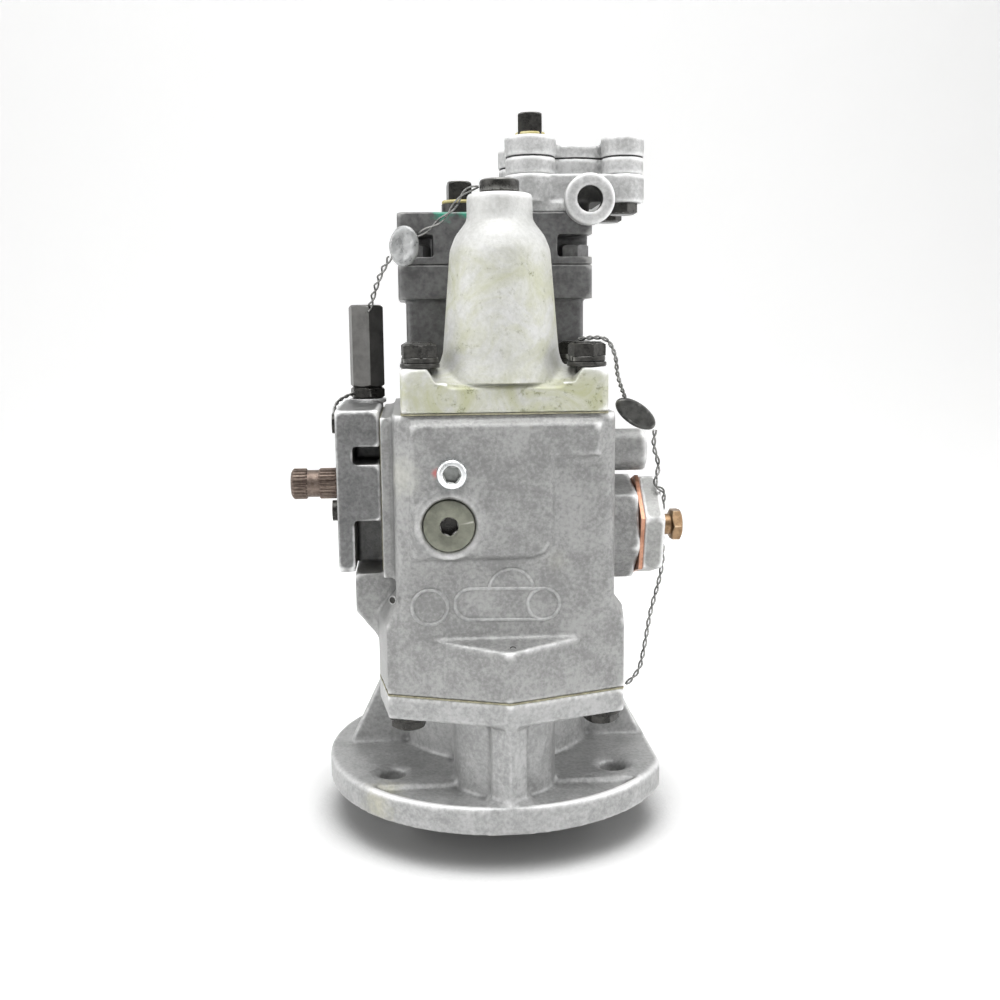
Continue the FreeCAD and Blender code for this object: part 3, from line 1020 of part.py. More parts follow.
def make_side_cap():
    """Hex cap on the right side with its copper washer and drilled brass screw."""
    y, z = "-cap_y", "cap_z"
    turn = 90 - num("cap_turn")
    across = "(cap_corner * 2 * cos(30))"
    hole = "cap_screw_radius + seat_gap"
    at = ("cap_seat_x", y, z)
    ring = hexagon(f"{across} + 2 * cap_washer_past", "cap_washer", at, axis="x", turn=turn)
    node(cut("side_cap_washer", ring, rod(hole, "cap_washer", at, axis="x")))
    at = ("cap_seat_x + cap_washer", y, z)
    cap = hexagon(across, "cap_thick", at, axis="x", turn=turn)
    node(cut("side_cap", cap, rod(hole, "cap_thick", at, axis="x")))
    root = "(cap_seat_x - plug_deep)"
    shank = rod("cap_screw_radius", f"cap_screw_out - {root}", (root, y, z), axis="x")
    out = "(cap_seat_x + cap_washer + cap_thick)"
    head_x = "(cap_screw_out - cap_head_thick)"
    neck = rod("cap_neck_radius", f"{head_x} - {out}", (out, y, z), axis="x")
    head = hexagon("cap_head_radius * 2 * cos(30)", "cap_head_thick", (head_x, y, z), axis="x")
    node(fuse("side_cap_screw", shank, neck, head))


def wire_tube(points):
    """A stiff round wire along straight runs that tangent arcs join."""
    points = [FreeCAD.Vector(*p) for p in points]
    radius = num("wire_radius")
    edges, start, tightest = [], points[0], 1000.0
    for before, corner, after in zip(points, points[1:], points[2:]):
        back, ahead = before - corner, after - corner
        tangent = 0.45 * min(back.Length, ahead.Length)
        bend_radius = tangent / math.tan((math.pi - back.getAngle(ahead)) / 2)
        tightest = min(tightest, bend_radius)
        back.normalize()
        ahead.normalize()
        first, last = corner + back * tangent, corner + ahead * tangent
        sag = math.hypot(tangent, bend_radius) - bend_radius
        middle = corner + (back + ahead).normalize() * sag
        edges += [Part.makeLine(start, first), Part.Arc(first, middle, last).toShape()]
        start = last
    edges.append(Part.makeLine(start, points[-1]))
    path = Part.Wire(edges)
    section = Part.Wire(Part.makeCircle(radius, points[0], points[1] - points[0]))
    tube = path.makePipeShell([section], True, False)
    share = tube.Volume / (math.pi * radius ** 2 * path.Length)
    print(f"wire run {path.Length:.1f} mm, tightest bend {tightest:.1f} mm, volume share {share:.3f}")
    if abs(share - 1) > 0.01:
        raise RuntimeError("a wire's tube folds over itself")
    return tube


def make_seals():
    """The twisted lockwires with the disc and the oval that seal them."""
    runs = [solid_feature("wire_run", wire_tube(points)) for points in LEFT_WIRE]
    node(group("seal_wire_left", runs))
    runs = [solid_feature("wire_run", wire_tube(points)) for points in RIGHT_WIRE]
    around = Part.makeTorus(num("cap_neck_radius + wire_radius + seat_gap"), num("wire_radius"))
    loop = solid_feature("wire_loop", around)
    neck_x = "(cap_seat_x + cap_washer + cap_thick + cap_screw_out - cap_head_thick) / 2"
    place(loop, (neck_x, "-cap_y", "cap_z"), "x")
    node(group("seal_wire_right", [*runs, loop]))
    normal = FreeCAD.Vector(*DISC_NORMAL)
    thick = num("disc_thick")
    foot = FreeCAD.Vector(*DISC_PLACE) - normal * (thick / 2)
    node(solid_feature("disc_seal", Part.makeCylinder(num("disc_radius"), thick, foot, normal)))
    centre = FreeCAD.Vector(*OVAL_PLACE)
    long_end = centre + FreeCAD.Vector(*OVAL_LONG_WAY).normalize() * num("oval_long")
    short_way = FreeCAD.Vector(*OVAL_LONG_WAY).cross(FreeCAD.Vector(0, 1, 0)).normalize()
    ellipse = Part.Ellipse(long_end, centre + short_way * num("oval_wide"), centre).toShape()
    face = Part.Face(Part.Wire(ellipse))
    node(solid_feature("oval_seal", face.extrude(FreeCAD.Vector(0, num("oval_thick"), 0))))


make_front_cover()
make_cover_gasket()
make_main_housing()
finish_spring_cover()
make_spring_cover_gasket()
make_cover_bolts()
make_plate_bolts()
make_gears()
make_drive()
make_governor()
make_spring("governor_spring", num("spring_radius"), num("spring_wire"), int(num("spring_turns")))
make_spring("idle_spring", num("idle_spring_radius"), num("idle_spring_wire"), int(num("idle_spring_turns")))
make_idle_plug()
make_throttle_cover()
make_throttle_shaft()
make_front_plugs()
make_gear_pump()
make_damper()
make_side_cap()
make_seals()
doc.recompute()

# Every object must be sound before anything is written.
for thing in doc.Objects:
    if "Invalid" in thing.State or "Error" in thing.State:
        raise RuntimeError(f"{thing.Label} failed: {thing.State}")
os.makedirs("parts", exist_ok=True)
for thing in nodes:
    shape = thing.Shape
    if shape.isNull() or not shape.isValid():
        raise RuntimeError(f"{thing.Label} has no sound shape")
    shape.exportStep(f"parts/{thing.Label}.step")
print(len(nodes), "nodes")
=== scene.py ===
"""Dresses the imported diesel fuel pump: its castings, paint, plating, fasteners and lockwires,
and the white sweep it stands on."""

import json
import math

import bmesh
import bpy
import numpy as np
from bpy.props import FloatProperty, FloatVectorProperty, IntProperty, PointerProperty
from mathutils import Matrix, Vector
from mathutils import noise as mathutils_noise


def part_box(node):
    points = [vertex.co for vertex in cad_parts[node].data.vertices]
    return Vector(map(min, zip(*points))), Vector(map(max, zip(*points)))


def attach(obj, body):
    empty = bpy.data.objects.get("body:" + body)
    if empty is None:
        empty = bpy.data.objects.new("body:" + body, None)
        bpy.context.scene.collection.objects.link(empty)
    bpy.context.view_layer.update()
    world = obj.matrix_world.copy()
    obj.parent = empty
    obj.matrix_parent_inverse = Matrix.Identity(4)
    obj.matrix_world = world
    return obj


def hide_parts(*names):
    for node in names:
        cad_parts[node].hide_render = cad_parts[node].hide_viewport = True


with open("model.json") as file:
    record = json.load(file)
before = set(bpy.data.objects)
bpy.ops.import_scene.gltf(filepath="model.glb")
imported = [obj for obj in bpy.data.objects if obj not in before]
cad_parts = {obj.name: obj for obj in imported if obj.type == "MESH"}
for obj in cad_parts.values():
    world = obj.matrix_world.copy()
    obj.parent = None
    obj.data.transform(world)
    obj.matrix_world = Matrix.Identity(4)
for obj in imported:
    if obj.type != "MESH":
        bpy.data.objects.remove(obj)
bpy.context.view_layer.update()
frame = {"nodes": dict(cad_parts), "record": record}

bl_info = {
    "name": "Diesel Fuel Pump Finish",
    "version": (1, 0, 0),
    "blender": (4, 5, 0),
    "location": "3D View > Sidebar > Fuel Pump",
    "description": "Dresses a packed diesel fuel pump in cast, painted and plated finishes",
    "category": "Object",
}

MM = 0.001
SLOTS = {part["node"]: part["material_slot"] for part in frame["record"]["subparts"]}
BODIES = {node: body for body, nodes in frame["record"]["behaviour"]["bodies"].items() for node in nodes}
FINISH = {}

# Heights in metres: the tops of the front cover and the housing, and the face under the washers.
PLATE_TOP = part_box("front_cover")[1].z
HOUSING_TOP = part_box("main_housing")[1].z
COVER_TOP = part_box("spring_cover_flat_washers")[0].z

# Routes of the lockwires in millimetres, as the source lays them, each with how far its two
# strands lie from the middle and the length of one twist.
LEFT_ROUTES = [
    ([(-7.95, -40, 249.2), (-13.5, -39.5, 248.2), (-17.5, -36.5, 241.5), (-24.1, -32, 235.9),
      (-31.6, -26.9, 232.0)], 0.75, 17.0),
    ([(-42.8, -21.1, 224.0), (-46.5, -15, 219), (-49.5, -6, 212.5), (-51.8, 0.5, 206),
      (-53.1, 5.1, 202.6)], 0.8, 12.0),
    ([(-59.85, 7.25, 168), (-64, 3.5, 166.8), (-68, -1.5, 164), (-68.2, -8, 160),
      (-67.35, -13.4, 158.2)], 0.42, 6.5),
]
RIGHT_ROUTES = [
    ([(28.5, -55, 190.9), (33, -56, 191.5), (39.6, -56.6, 191.3), (42.9, -56.5, 184.5),
      (43.6, -54.5, 178), (46, -50.5, 172), (48.5, -46, 167.6)], 0.5, 6.0),
    ([(61.9, -40, 154.2), (61.2, -38, 147.9), (65.4, -34, 139.2), (62, -38, 130.8),
      (66.9, -37, 129.3), (67.3, -31, 121), (67.4, -30.3, 113), (67.4, -31, 109), (67.2, -34, 99),
      (65.2, -36, 91), (60.8, -40, 79.4), (57, -46, 64), (53.6, -51.5, 56), (48.3, -53.5, 53.0)], 0.6, 9.0),
]


# Shader trees


def add(tree, kind, inputs=None, **settings):
    """One node with its settings, and its inputs as plain values or sockets to link."""
    node = tree.nodes.new(kind)
    for name, value in settings.items():
        setattr(node, name, value)
    for name, value in (inputs or {}).items():
        if isinstance(value, bpy.types.NodeSocket):
            tree.links.new(value, node.inputs[name])
        else:
            node.inputs[name].default_value = value
    return node


def sums(tree, operation, first, second=0.0):
    """The value of a Math node on two numbers or sockets."""
    return add(tree, "ShaderNodeMath", {0: first, 1: second}, operation=operation).outputs[0]


def times(tree, first, second):
    """The product of two numbers or sockets."""
    return sums(tree, "MULTIPLY", first, second)


def ramp(tree, value, low, high, to_low=0.0, to_high=1.0):
    """A value that goes smoothly from to_low at low to to_high at high."""
    inputs = {"Value": value, "From Min": low, "From Max": high, "To Min": to_low, "To Max": to_high}
    return add(tree, "ShaderNodeMapRange", inputs, interpolation_type="SMOOTHSTEP").outputs[0]


def blend(tree, amount, first, second):
    """The colour between two colours or sockets."""
    node = add(tree, "ShaderNodeMix", {0: amount}, data_type="RGBA")
    for index, value in ((6, first), (7, second)):
        if isinstance(value, bpy.types.NodeSocket):
            tree.links.new(value, node.inputs[index])
        else:
            node.inputs[index].default_value = (*value, 1.0)
    return node.outputs[2]


def lay(tree, colour, mask, strength, tint):
    """The colour with a tint on it where the mask is, at that strength."""
    return blend(tree, times(tree, mask, strength), colour, tint)


def place_of(tree):
    """Object coordinates, which are the pump's own in metres."""
    return add(tree, "ShaderNodeTexCoord").outputs["Object"]


def noise(tree, scale, detail=3.0, roughness=0.5, distortion=0.0):
    """The value of a Noise node on Object coordinates."""
    inputs = {"Vector": place_of(tree), "Scale": scale, "Detail": detail, "Roughness": roughness}
    return add(tree, "ShaderNodeTexNoise", {**inputs, "Distortion": distortion}).outputs[0]


def group(name, inputs, outputs):
    """An empty shader group with its named sockets, and its two end nodes' sockets."""
    tree = bpy.data.node_groups.new(name, "ShaderNodeTree")
    for label, value in inputs:
        tree.interface.new_socket(label, in_out="INPUT", socket_type="NodeSocketFloat").default_value = value
    for label in outputs:
        tree.interface.new_socket(label, in_out="OUTPUT", socket_type="NodeSocketFloat")
    return tree, tree.nodes.new("NodeGroupInput").outputs, tree.nodes.new("NodeGroupOutput").inputs


def build_grain():
    """Metal or paint skin: a tone that varies over broad and fine patches, and a height."""
    tree, given, out = group("surface_grain", [("Fine Scale", 900.0), ("Broad Scale", 60.0)], ["Tone", "Height"])
    fine = noise(tree, given["Fine Scale"], 4.0, 0.65)
    broad = noise(tree, given["Broad Scale"], 5.0, 0.62, 0.5)
    tone = sums(tree, "ADD", times(tree, fine, 0.5), times(tree, broad, 0.5))
    tree.links.new(tone, out["Tone"])
    tree.links.new(sums(tree, "ADD", fine, times(tree, broad, 0.7)), out["Height"])
    return tree


def build_wear():
    """Edges lightened, partly as rubbed wear and partly as a painted highlight, and corners darkened as painted
    shade, from what the mesh says of its own bends.
    """
    tree, given, out = group("edge_wear", [("Break Up", 0.5), ("Sharpness", 0.5)], ["Edge", "Corner"])
    broken = times(tree, noise(tree, 330.0, 5.0, 0.7), given["Break Up"])
    low = sums(tree, "SUBTRACT", 1.0, given["Sharpness"])
    # Edge feeds rubbed wear and a painted highlight; Corner feeds painted shade in creases.
    for label, attribute in (("Edge", "edge"), ("Corner", "corner")):
        bend = add(tree, "ShaderNodeAttribute", attribute_name=attribute).outputs["Fac"]
        mask = ramp(tree, sums(tree, "SUBTRACT", bend, broken), 0.0, low)
        tree.links.new(mask, out[label])
    return tree


def build_stain():
    """Patches of old fuel and grime in a band of heights."""
    tree, given, out = group(
        "fuel_stain", [("Scale", 45.0), ("Amount", 0.5), ("Low Z", 0.0), ("High Z", 0.3)], ["Patch", "Speck"]
    )
    height = add(tree, "ShaderNodeSeparateXYZ", {0: place_of(tree)}).outputs["Z"]
    fade = 0.012
    above = ramp(tree, height, given["Low Z"], sums(tree, "ADD", given["Low Z"], fade))
    below = ramp(tree, height, sums(tree, "SUBTRACT", given["High Z"], fade), given["High Z"], 1.0, 0.0)
    band = times(tree, above, below)
    # The amount sets how much of each noise comes through, as patches and as specks.
    start = sums(tree, "SUBTRACT", 0.72, times(tree, given["Amount"], 0.4))
    patch = ramp(tree, noise(tree, given["Scale"], 6.0, 0.7, 1.2), start, 0.74)
    few = sums(tree, "SUBTRACT", 0.68, times(tree, given["Amount"], 0.12))
    speck = ramp(tree, noise(tree, 300.0, 6.0, 0.75), few, sums(tree, "ADD", few, 0.14))
    tree.links.new(times(tree, patch, band), out["Patch"])
    near_patch = sums(tree, "ADD", times(tree, patch, 0.75), 0.25)
    tree.links.new(times(tree, times(tree, speck, near_patch), band), out["Speck"])
    return tree


def build_spot():
    """A soft round mark about one place."""
    tree, given, out = group(
        "paint_spot", [("X", 0.0), ("Y", 0.0), ("Z", 0.0), ("Radius", 0.004), ("Softness", 0.5)], ["Mask"]
    )
    centre = add(tree, "ShaderNodeCombineXYZ", {"X": given["X"], "Y": given["Y"], "Z": given["Z"]}).outputs[0]
    apart = add(tree, "ShaderNodeVectorMath", {0: place_of(tree), 1: centre}, operation="DISTANCE").outputs["Value"]
    ragged = times(tree, noise(tree, 300.0, 4.0, 0.6), times(tree, given["Radius"], 0.8))
    inner = times(tree, given["Radius"], sums(tree, "SUBTRACT", 1.0, given["Softness"]))
    tree.links.new(ramp(tree, sums(tree, "ADD", apart, ragged), inner, given["Radius"], 1.0, 0.0), out["Mask"])
    return tree


BUILDERS = {
    "surface_grain": build_grain,
    "edge_wear": build_wear,
    "fuel_stain": build_stain,
    "paint_spot": build_spot,
}


def use_group(tree, name, **values):
    """A group's node with its own values; the group itself is built at its first use."""
    node = tree.nodes.new("ShaderNodeGroup")
    node.node_tree = bpy.data.node_groups.get(name) or BUILDERS[name]()
    for label, value in values.items():
        node.inputs[label.replace("_", " ")].default_value = value
    return node.outputs


def new_material(name):
    """An empty material, its tree and its Principled shader."""
    material = bpy.data.materials.new(name)
    material.use_nodes = True
    return material, material.node_tree, material.node_tree.nodes["Principled BSDF"]


def connect(tree, shader, colour, rough, height, depth):
    """Links colour, roughness and a bump of that depth in metres to the shader."""
    tree.links.new(colour, shader.inputs["Base Color"])
    tree.links.new(rough, shader.inputs["Roughness"])
    bump = add(tree, "ShaderNodeBump", {"Height": height, "Strength": 0.5, "Distance": depth})
    tree.links.new(bump.outputs[0], shader.inputs["Normal"])


def spotted(tree, colour, spots, softness):
    """The colour with round marks of (x, y, z, radius in millimetres, tint, strength)."""
    for x, y, z, radius, tint, strength in spots:
        mark = use_group(tree, "paint_spot", X=x * MM, Y=y * MM, Z=z * MM, Radius=radius * MM, Softness=softness)
        colour = lay(tree, colour, mark["Mask"], strength, tint)
    return colour


def cast_finish(name, dark, pale, stains, spots, rough, metal, edge=0.8):
    """Raw sand cast aluminium: grey grain, edges lightened by rubbing and by a painted highlight, painted shade in
    the corners, stains and marks.
    """
    material, tree, shader = new_material(name)
    skin = use_group(tree, "surface_grain", Fine_Scale=620.0, Broad_Scale=70.0)
    wear_and_light = use_group(tree, "edge_wear", Break_Up=0.36, Sharpness=0.52)
    tones, bump_depth, speck_shade, corner_shade = (0.36, 0.64), 0.0005, 0.42, 0.4
    colour = blend(tree, ramp(tree, skin["Tone"], *tones), dark, pale)
    rough_value = ramp(tree, skin["Tone"], *tones, rough - 0.06, rough + 0.1)
    for amount, low, high, tint, strength in stains:
        dirt = use_group(tree, "fuel_stain", Scale=55.0, Amount=amount, Low_Z=low, High_Z=high)
        colour = lay(tree, colour, dirt["Patch"], strength, tint)
        colour = lay(tree, colour, dirt["Speck"], min(1.0, strength * 1.6), [c * speck_shade for c in tint])
    colour = spotted(tree, colour, spots, 0.6)
    # Painted shade darkens the corners and creases; the edges are lightened near white, partly as wear and partly as
    # a painted highlight.
    colour = lay(tree, colour, wear_and_light["Corner"], 0.75, [c * corner_shade for c in dark])
    colour = lay(tree, colour, wear_and_light["Edge"], edge, (0.97, 0.97, 0.97))
    shader.inputs["Metallic"].default_value = metal
    connect(tree, shader, colour, rough_value, skin["Height"], bump_depth)
    return material


def metal_finish(name, dark, pale, rough=0.35, metal=1.0, fine=500.0, edge=None, depth=0.00012, spots=()):
    """Steel, brass, plating or paint: a base that varies, with edges lightened by rubbing and by a painted highlight,
    and marks.
    """
    material, tree, shader = new_material(name)
    skin = use_group(tree, "surface_grain", Fine_Scale=fine, Broad_Scale=150.0)
    tones = (0.34, 0.66)
    colour = blend(tree, ramp(tree, skin["Tone"], *tones), dark, pale)
    colour = spotted(tree, colour, spots, 0.35)
    # The edges take the edge colour: rubbed wear, and partly a painted highlight.
    if edge:
        wear_and_light = use_group(tree, "edge_wear", Break_Up=0.6, Sharpness=0.5)
        colour = lay(tree, colour, wear_and_light["Edge"], 0.75, edge)
    shader.inputs["Metallic"].default_value = metal
    rough_value = ramp(tree, skin["Tone"], *tones, rough - 0.06, rough + 0.08)
    connect(tree, shader, colour, rough_value, skin["Height"], depth)
    return material


def make_finishes():
    """Every finish of the pump by its name. Colours are linear."""
    olive, grime, green = (0.44, 0.45, 0.24), (0.3, 0.29, 0.23), (0.02, 0.34, 0.22)
    plug_marks = [
        (-22.2, -64, 121.3, 21.0, (0.56, 0.56, 0.47), 0.6),
        (-26.5, -64, 141.5, 4.5, (0.6, 0.15, 0.14), 0.75),
        (20.0, -61, 106.0, 10.0, (0.5, 0.49, 0.42), 0.2),
        (-41.0, -60, 140.0, 20.0, (0.66, 0.66, 0.58), 0.35),
    ]
    foot_marks = [(-50, -50, 5, 22.0, (0.62, 0.6, 0.42), 0.45)]
    paint_marks = [(-21.0, -16.0, 242.0, 9.0, green, 0.9), (-12.0, -17.0, 242.0, 6.0, green, 0.8)]
    # Material, dark and pale colour, stains of (amount, heights, tint, strength), marks, roughness,
    # metalness and strength of the edge lightening, which is rubbed wear and painted highlight.
    castings = {
        "housing_aluminium": (
            "housing_cast_aluminium", (0.23, 0.231, 0.228), (0.4, 0.401, 0.396),
            [(0.1, 0.04, 0.17, grime, 0.5)], plug_marks, 0.42, 0.42,
        ),
        "cast_aluminium": (
            "cover_cast_aluminium", (0.3, 0.302, 0.3), (0.5, 0.502, 0.5),
            [(0.1, -0.02, 0.3, grime, 0.5)], foot_marks, 0.42, 0.35,
        ),
        "plate_aluminium": (
            "throttle_cast_aluminium", (0.13, 0.131, 0.131), (0.25, 0.251, 0.25),
            [(0.1, 0.0, 0.3, grime, 0.4)], (), 0.42, 0.55,
        ),
        "bell_aluminium": (
            "stained_cast_aluminium", (0.54, 0.542, 0.525), (0.68, 0.682, 0.67),
            [(1.15, 0.15, 0.184, olive, 0.85), (1.0, 0.176, 0.23, olive, 0.6)], (), 0.55, 0.3, 0.9,
        ),
        "damper_aluminium": (
            "damper_cast_aluminium", (0.38, 0.382, 0.38), (0.62, 0.622, 0.62),
            [(0.1, 0.2, 0.3, grime, 0.5)], (), 0.48, 0.25,
        ),
        "cap_aluminium": (
            "turned_aluminium", (0.27, 0.272, 0.265), (0.42, 0.422, 0.412),
            [(0.1, 0.2, 0.3, grime, 0.4)], (), 0.42, 0.5,
        ),
    }
    # Material, dark and pale colour, roughness, metalness, scale of the grain, edge colour (rubbed wear and painted
    # highlight), depth, marks.
    metals = {
        "black_iron": (
            "black_paint", (0.08, 0.08, 0.08), (0.17, 0.17, 0.17), 0.36, 0.2, 420.0, (0.4, 0.4, 0.39),
            0.0003, paint_marks,
        ),
        "dark_steel": (
            "black_oxide_steel", (0.02, 0.0195, 0.018), (0.065, 0.063, 0.058), 0.3, 0.6, 600.0, (0.42, 0.42, 0.4)
        ),
        "blued_steel": (
            "blued_steel", (0.14, 0.138, 0.132), (0.2, 0.197, 0.19), 0.36, 0.8, 250.0, (0.5, 0.5, 0.48)
        ),
        # A darker metal, laid in hex sockets as painted shade.
        "socket_metal": ("socket_metal", (0.16, 0.165, 0.16), (0.3, 0.31, 0.3), 0.35, 0.9),
        "machined_steel": ("ground_steel", (0.5, 0.5, 0.51), (0.62, 0.62, 0.63), 0.28),
        "spring_steel": ("spring_wire", (0.3, 0.3, 0.31), (0.42, 0.42, 0.43), 0.3),
        "brown_steel": (
            "phosphated_steel", (0.1, 0.075, 0.062), (0.24, 0.19, 0.16), 0.42, 0.9, 700.0, (0.6, 0.52, 0.46)
        ),
        "bronze": ("sintered_bronze", (0.5, 0.36, 0.17), (0.68, 0.5, 0.26), 0.4),
        "brass": ("tarnished_brass", (0.16, 0.1, 0.055), (0.36, 0.24, 0.14), 0.36, 0.95, 500.0, (0.7, 0.55, 0.38)),
        "copper": ("soft_copper", (0.3, 0.15, 0.1), (0.58, 0.32, 0.22), 0.36, 0.95),
        "zinc_plate": ("bright_zinc", (0.6, 0.63, 0.64), (0.84, 0.86, 0.87), 0.24, 1.0, 400.0, (0.98, 0.98, 0.98)),
        "olive_zinc": (
            "olive_passivated_zinc", (0.15, 0.155, 0.125), (0.24, 0.245, 0.2), 0.4, 0.8, 350.0, (0.62, 0.62, 0.56)
        ),
        "gasket_fibre": ("gasket_fibre", (0.2, 0.19, 0.13), (0.42, 0.4, 0.28), 0.7, 0.0),
        "black_rubber": ("black_rubber", (0.02, 0.02, 0.02), (0.045, 0.045, 0.045), 0.6, 0.0),
        "seal_wire": ("twisted_wire", (0.1, 0.1, 0.095), (0.36, 0.36, 0.35), 0.3, 1.0, 900.0),
        "dark_seal": (
            "dark_seal", (0.03, 0.03, 0.028), (0.09, 0.09, 0.085), 0.36, 0.4, 350.0, (0.55, 0.55, 0.52), 0.0004
        ),
        "yellow_sealant": ("yellow_sealant", (0.5, 0.42, 0.12), (0.75, 0.68, 0.38), 0.5, 0.0),
        # The dark pit finish is painted shade for bores and pits.
        "dark_pit": ("dark_pit", (0.012, 0.012, 0.011), (0.05, 0.05, 0.045), 0.7, 0.0),
    }
    finishes = {name: cast_finish(*values) for name, values in castings.items()}
    finishes.update((name, metal_finish(*values)) for name, values in metals.items())
    return {**finishes, "clear_seal": clear_finish()}


def clear_finish():
    """Milky plastic that lets some light through."""
    material, tree, shader = new_material("milky_seal")
    skin = use_group(tree, "surface_grain", Fine_Scale=300.0, Broad_Scale=120.0)
    wear_and_light = use_group(tree, "edge_wear", Break_Up=0.5, Sharpness=0.5)
    colour = blend(tree, ramp(tree, skin["Tone"], 0.4, 0.6), (0.2, 0.205, 0.205), (0.42, 0.43, 0.43))
    colour = blend(tree, wear_and_light["Edge"], colour, (0.6, 0.61, 0.61))
    shader.inputs["Transmission Weight"].default_value = 0.2
    rough = ramp(tree, skin["Tone"], 0.4, 0.6, 0.2, 0.45)
    connect(tree, shader, colour, rough, skin["Height"], 0.0004)
    return material


# Meshes


def new_object(name, data):
    """A linked object at the origin with that mesh or curve."""
    obj = bpy.data.objects.new(name, data)
    bpy.context.scene.collection.objects.link(obj)
    return obj


def from_bmesh(name, mesh, sharp=32.0):
    """A smooth shaded object from a bmesh, with sharp edges past an angle in degrees."""
    data = bpy.data.meshes.new(name)
    mesh.to_mesh(data)
    mesh.free()
    data.shade_smooth()
    data.set_sharp_from_angle(angle=math.radians(sharp))
    return new_object(name, data)


def apply_modifiers(obj):
    """Leaves the object with the plain mesh that its modifiers make."""
    bpy.context.view_layer.update()
    graph = bpy.context.evaluated_depsgraph_get()
    data = bpy.data.meshes.new_from_object(obj.evaluated_get(graph))
    obj.modifiers.clear()
    obj.data = data
    return obj


def merged_copy(node):
    """A new object with a CAD node's mesh, its doubles merged."""
    mesh = bmesh.new()
    mesh.from_mesh(frame["nodes"][node].data)
    bmesh.ops.remove_doubles(mesh, verts=mesh.verts, dist=2e-6)
    return from_bmesh(f"{node}_skin", mesh)


def points_of(data):
    """A mesh's points as an array."""
    flat = np.empty(len(data.vertices) * 3, np.float32)
    data.vertices.foreach_get("co", flat)
    return flat.reshape(-1, 3)


def mark_bends(data, reach=0.0015, passes=1):
    """Stores how far each point is an edge (0 to 1) and a corner (0 to 1), for the edge wear with its painted
    highlight and for the painted corner shade.
    """
    points = points_of(data).astype(float)
    normals = np.empty(len(points) * 3, np.float32)
    data.vertex_normals.foreach_get("vector", normals)
    normals = normals.reshape(-1, 3)
    pairs = np.empty(len(data.edges) * 2, np.int32)
    data.edges.foreach_get("vertices", pairs)
    first, second = pairs.reshape(-1, 2).T
    count = np.bincount(first, minlength=len(points)) + np.bincount(second, minlength=len(points))
    count = np.maximum(count, 1)

    def neighbours(values):
        total = np.bincount(first, values[second], len(points)) + np.bincount(second, values[first], len(points))
        return total / count

    mean = np.stack([neighbours(points[:, k]) for k in range(3)], 1)
    spacing = neighbours(np.bincount(first, np.linalg.norm(points[first] - points[second], axis=1), len(points)))
    spacing = np.maximum(spacing / np.maximum(np.bincount(first, minlength=len(points)), 1).mean(), 1e-5)
    bend = ((mean - points) * normals).sum(1) / spacing ** 2 * reach
    for _ in range(passes):
        bend = 0.5 * bend + 0.5 * neighbours(bend)
    for label, values in (("edge", -bend), ("corner", bend)):
        attribute = data.attributes.new(label, "FLOAT", "POINT")
        attribute.data.foreach_set("value", np.clip(values, 0, 1).astype(np.float32))


def soften(obj, voxel, steps, keep=()):
    """Rounds a casting's edges and corners as sand leaves them, but not near machined heights."""
    remesh = obj.modifiers.new("skin", "REMESH")
    remesh.mode = "VOXEL"
    remesh.voxel_size = voxel * MM
    remesh.use_smooth_shade = True
    apply_modifiers(obj)
    free = obj.vertex_groups.new(name="free")
    heights = points_of(obj.data)[:, 2]
    far, least = 1e3, 0.12
    near = np.full(len(heights), far)
    for height in keep:
        near = np.minimum(near, np.abs(heights - height))
    levels = np.round(np.clip(near / (2 * voxel * MM), least, 1.0), 1)
    for level in np.unique(levels):
        free.add(np.nonzero(levels == level)[0].tolist(), float(level), "REPLACE")
    smooth = obj.modifiers.new("soft", "SMOOTH")
    smooth.factor = 0.5
    smooth.iterations = steps
    smooth.vertex_group = "free"
    apply_modifiers(obj)
    obj.vertex_groups.clear()
    obj.data.shade_smooth()
    mark_bends(obj.data, reach=0.0046, passes=9)
    return obj


def hex_limit(across, sides=6):
    """The reach of a polygon of that size across flats, as a ring's shape."""
    step = 2 * math.pi / sides

    def shape(angle, radius):
        return min(radius, across / 2 / math.cos((angle + step / 2) % step - step / 2))

    return shape


def toothed(count, depth):
    """A ring cut with straight sided teeth."""

    def shape(angle, radius):
        phase = angle * count / (2 * math.pi) % 1.0
        rise = min(1.0, max(0.0, 2.4 * (1 - abs(2 * phase - 1)) - 0.7))
        return radius - depth * (1 - rise)

    return shape


def bridge(mesh, pairs):
    """Four sided faces between the rings of points in each pair."""
    for low, high in pairs:
        for k in range(len(low)):
            n = (k + 1) % len(low)
            mesh.faces.new((low[k], low[n], high[n], high[k]))


def turned(rings, segments=72):
    """A closed shell about Z through rings of (radius, height, shape), in millimetres.
    A radius of 0 closes the end; otherwise the last ring joins the first."""
    mesh = bmesh.new()
    rows = []
    for radius, height, *shape in rings:
        row = []
        for k in range(segments):
            angle = 2 * math.pi * k / segments
            reach = shape[0](angle, radius) if shape else radius
            row.append(mesh.verts.new((reach * math.cos(angle), reach * math.sin(angle), height)))
        rows.append(row)
    pairs = list(zip(rows, rows[1:]))
    if rings[0][0] > 0:
        pairs.append((rows[-1], rows[0]))
    bridge(mesh, pairs)
    bmesh.ops.remove_doubles(mesh, verts=mesh.verts, dist=1e-5)
    bmesh.ops.dissolve_degenerate(mesh, edges=mesh.edges, dist=1e-5)
    bmesh.ops.recalc_face_normals(mesh, faces=mesh.faces)
    return mesh


def rod(radius, start, end, segments):
    """A plain round bar about Z between two heights."""
    return turned([(0, start), (radius, start), (radius, end), (0, end)], segments)


def flipped(mesh):
    """A bmesh turned upside down about X."""
    mesh.transform(Matrix.Rotation(math.pi, 4, "X"))
    return mesh


def raised(mesh, height):
    """A bmesh moved up by a height."""
    mesh.transform(Matrix.Translation((0, 0, height)))
    return mesh


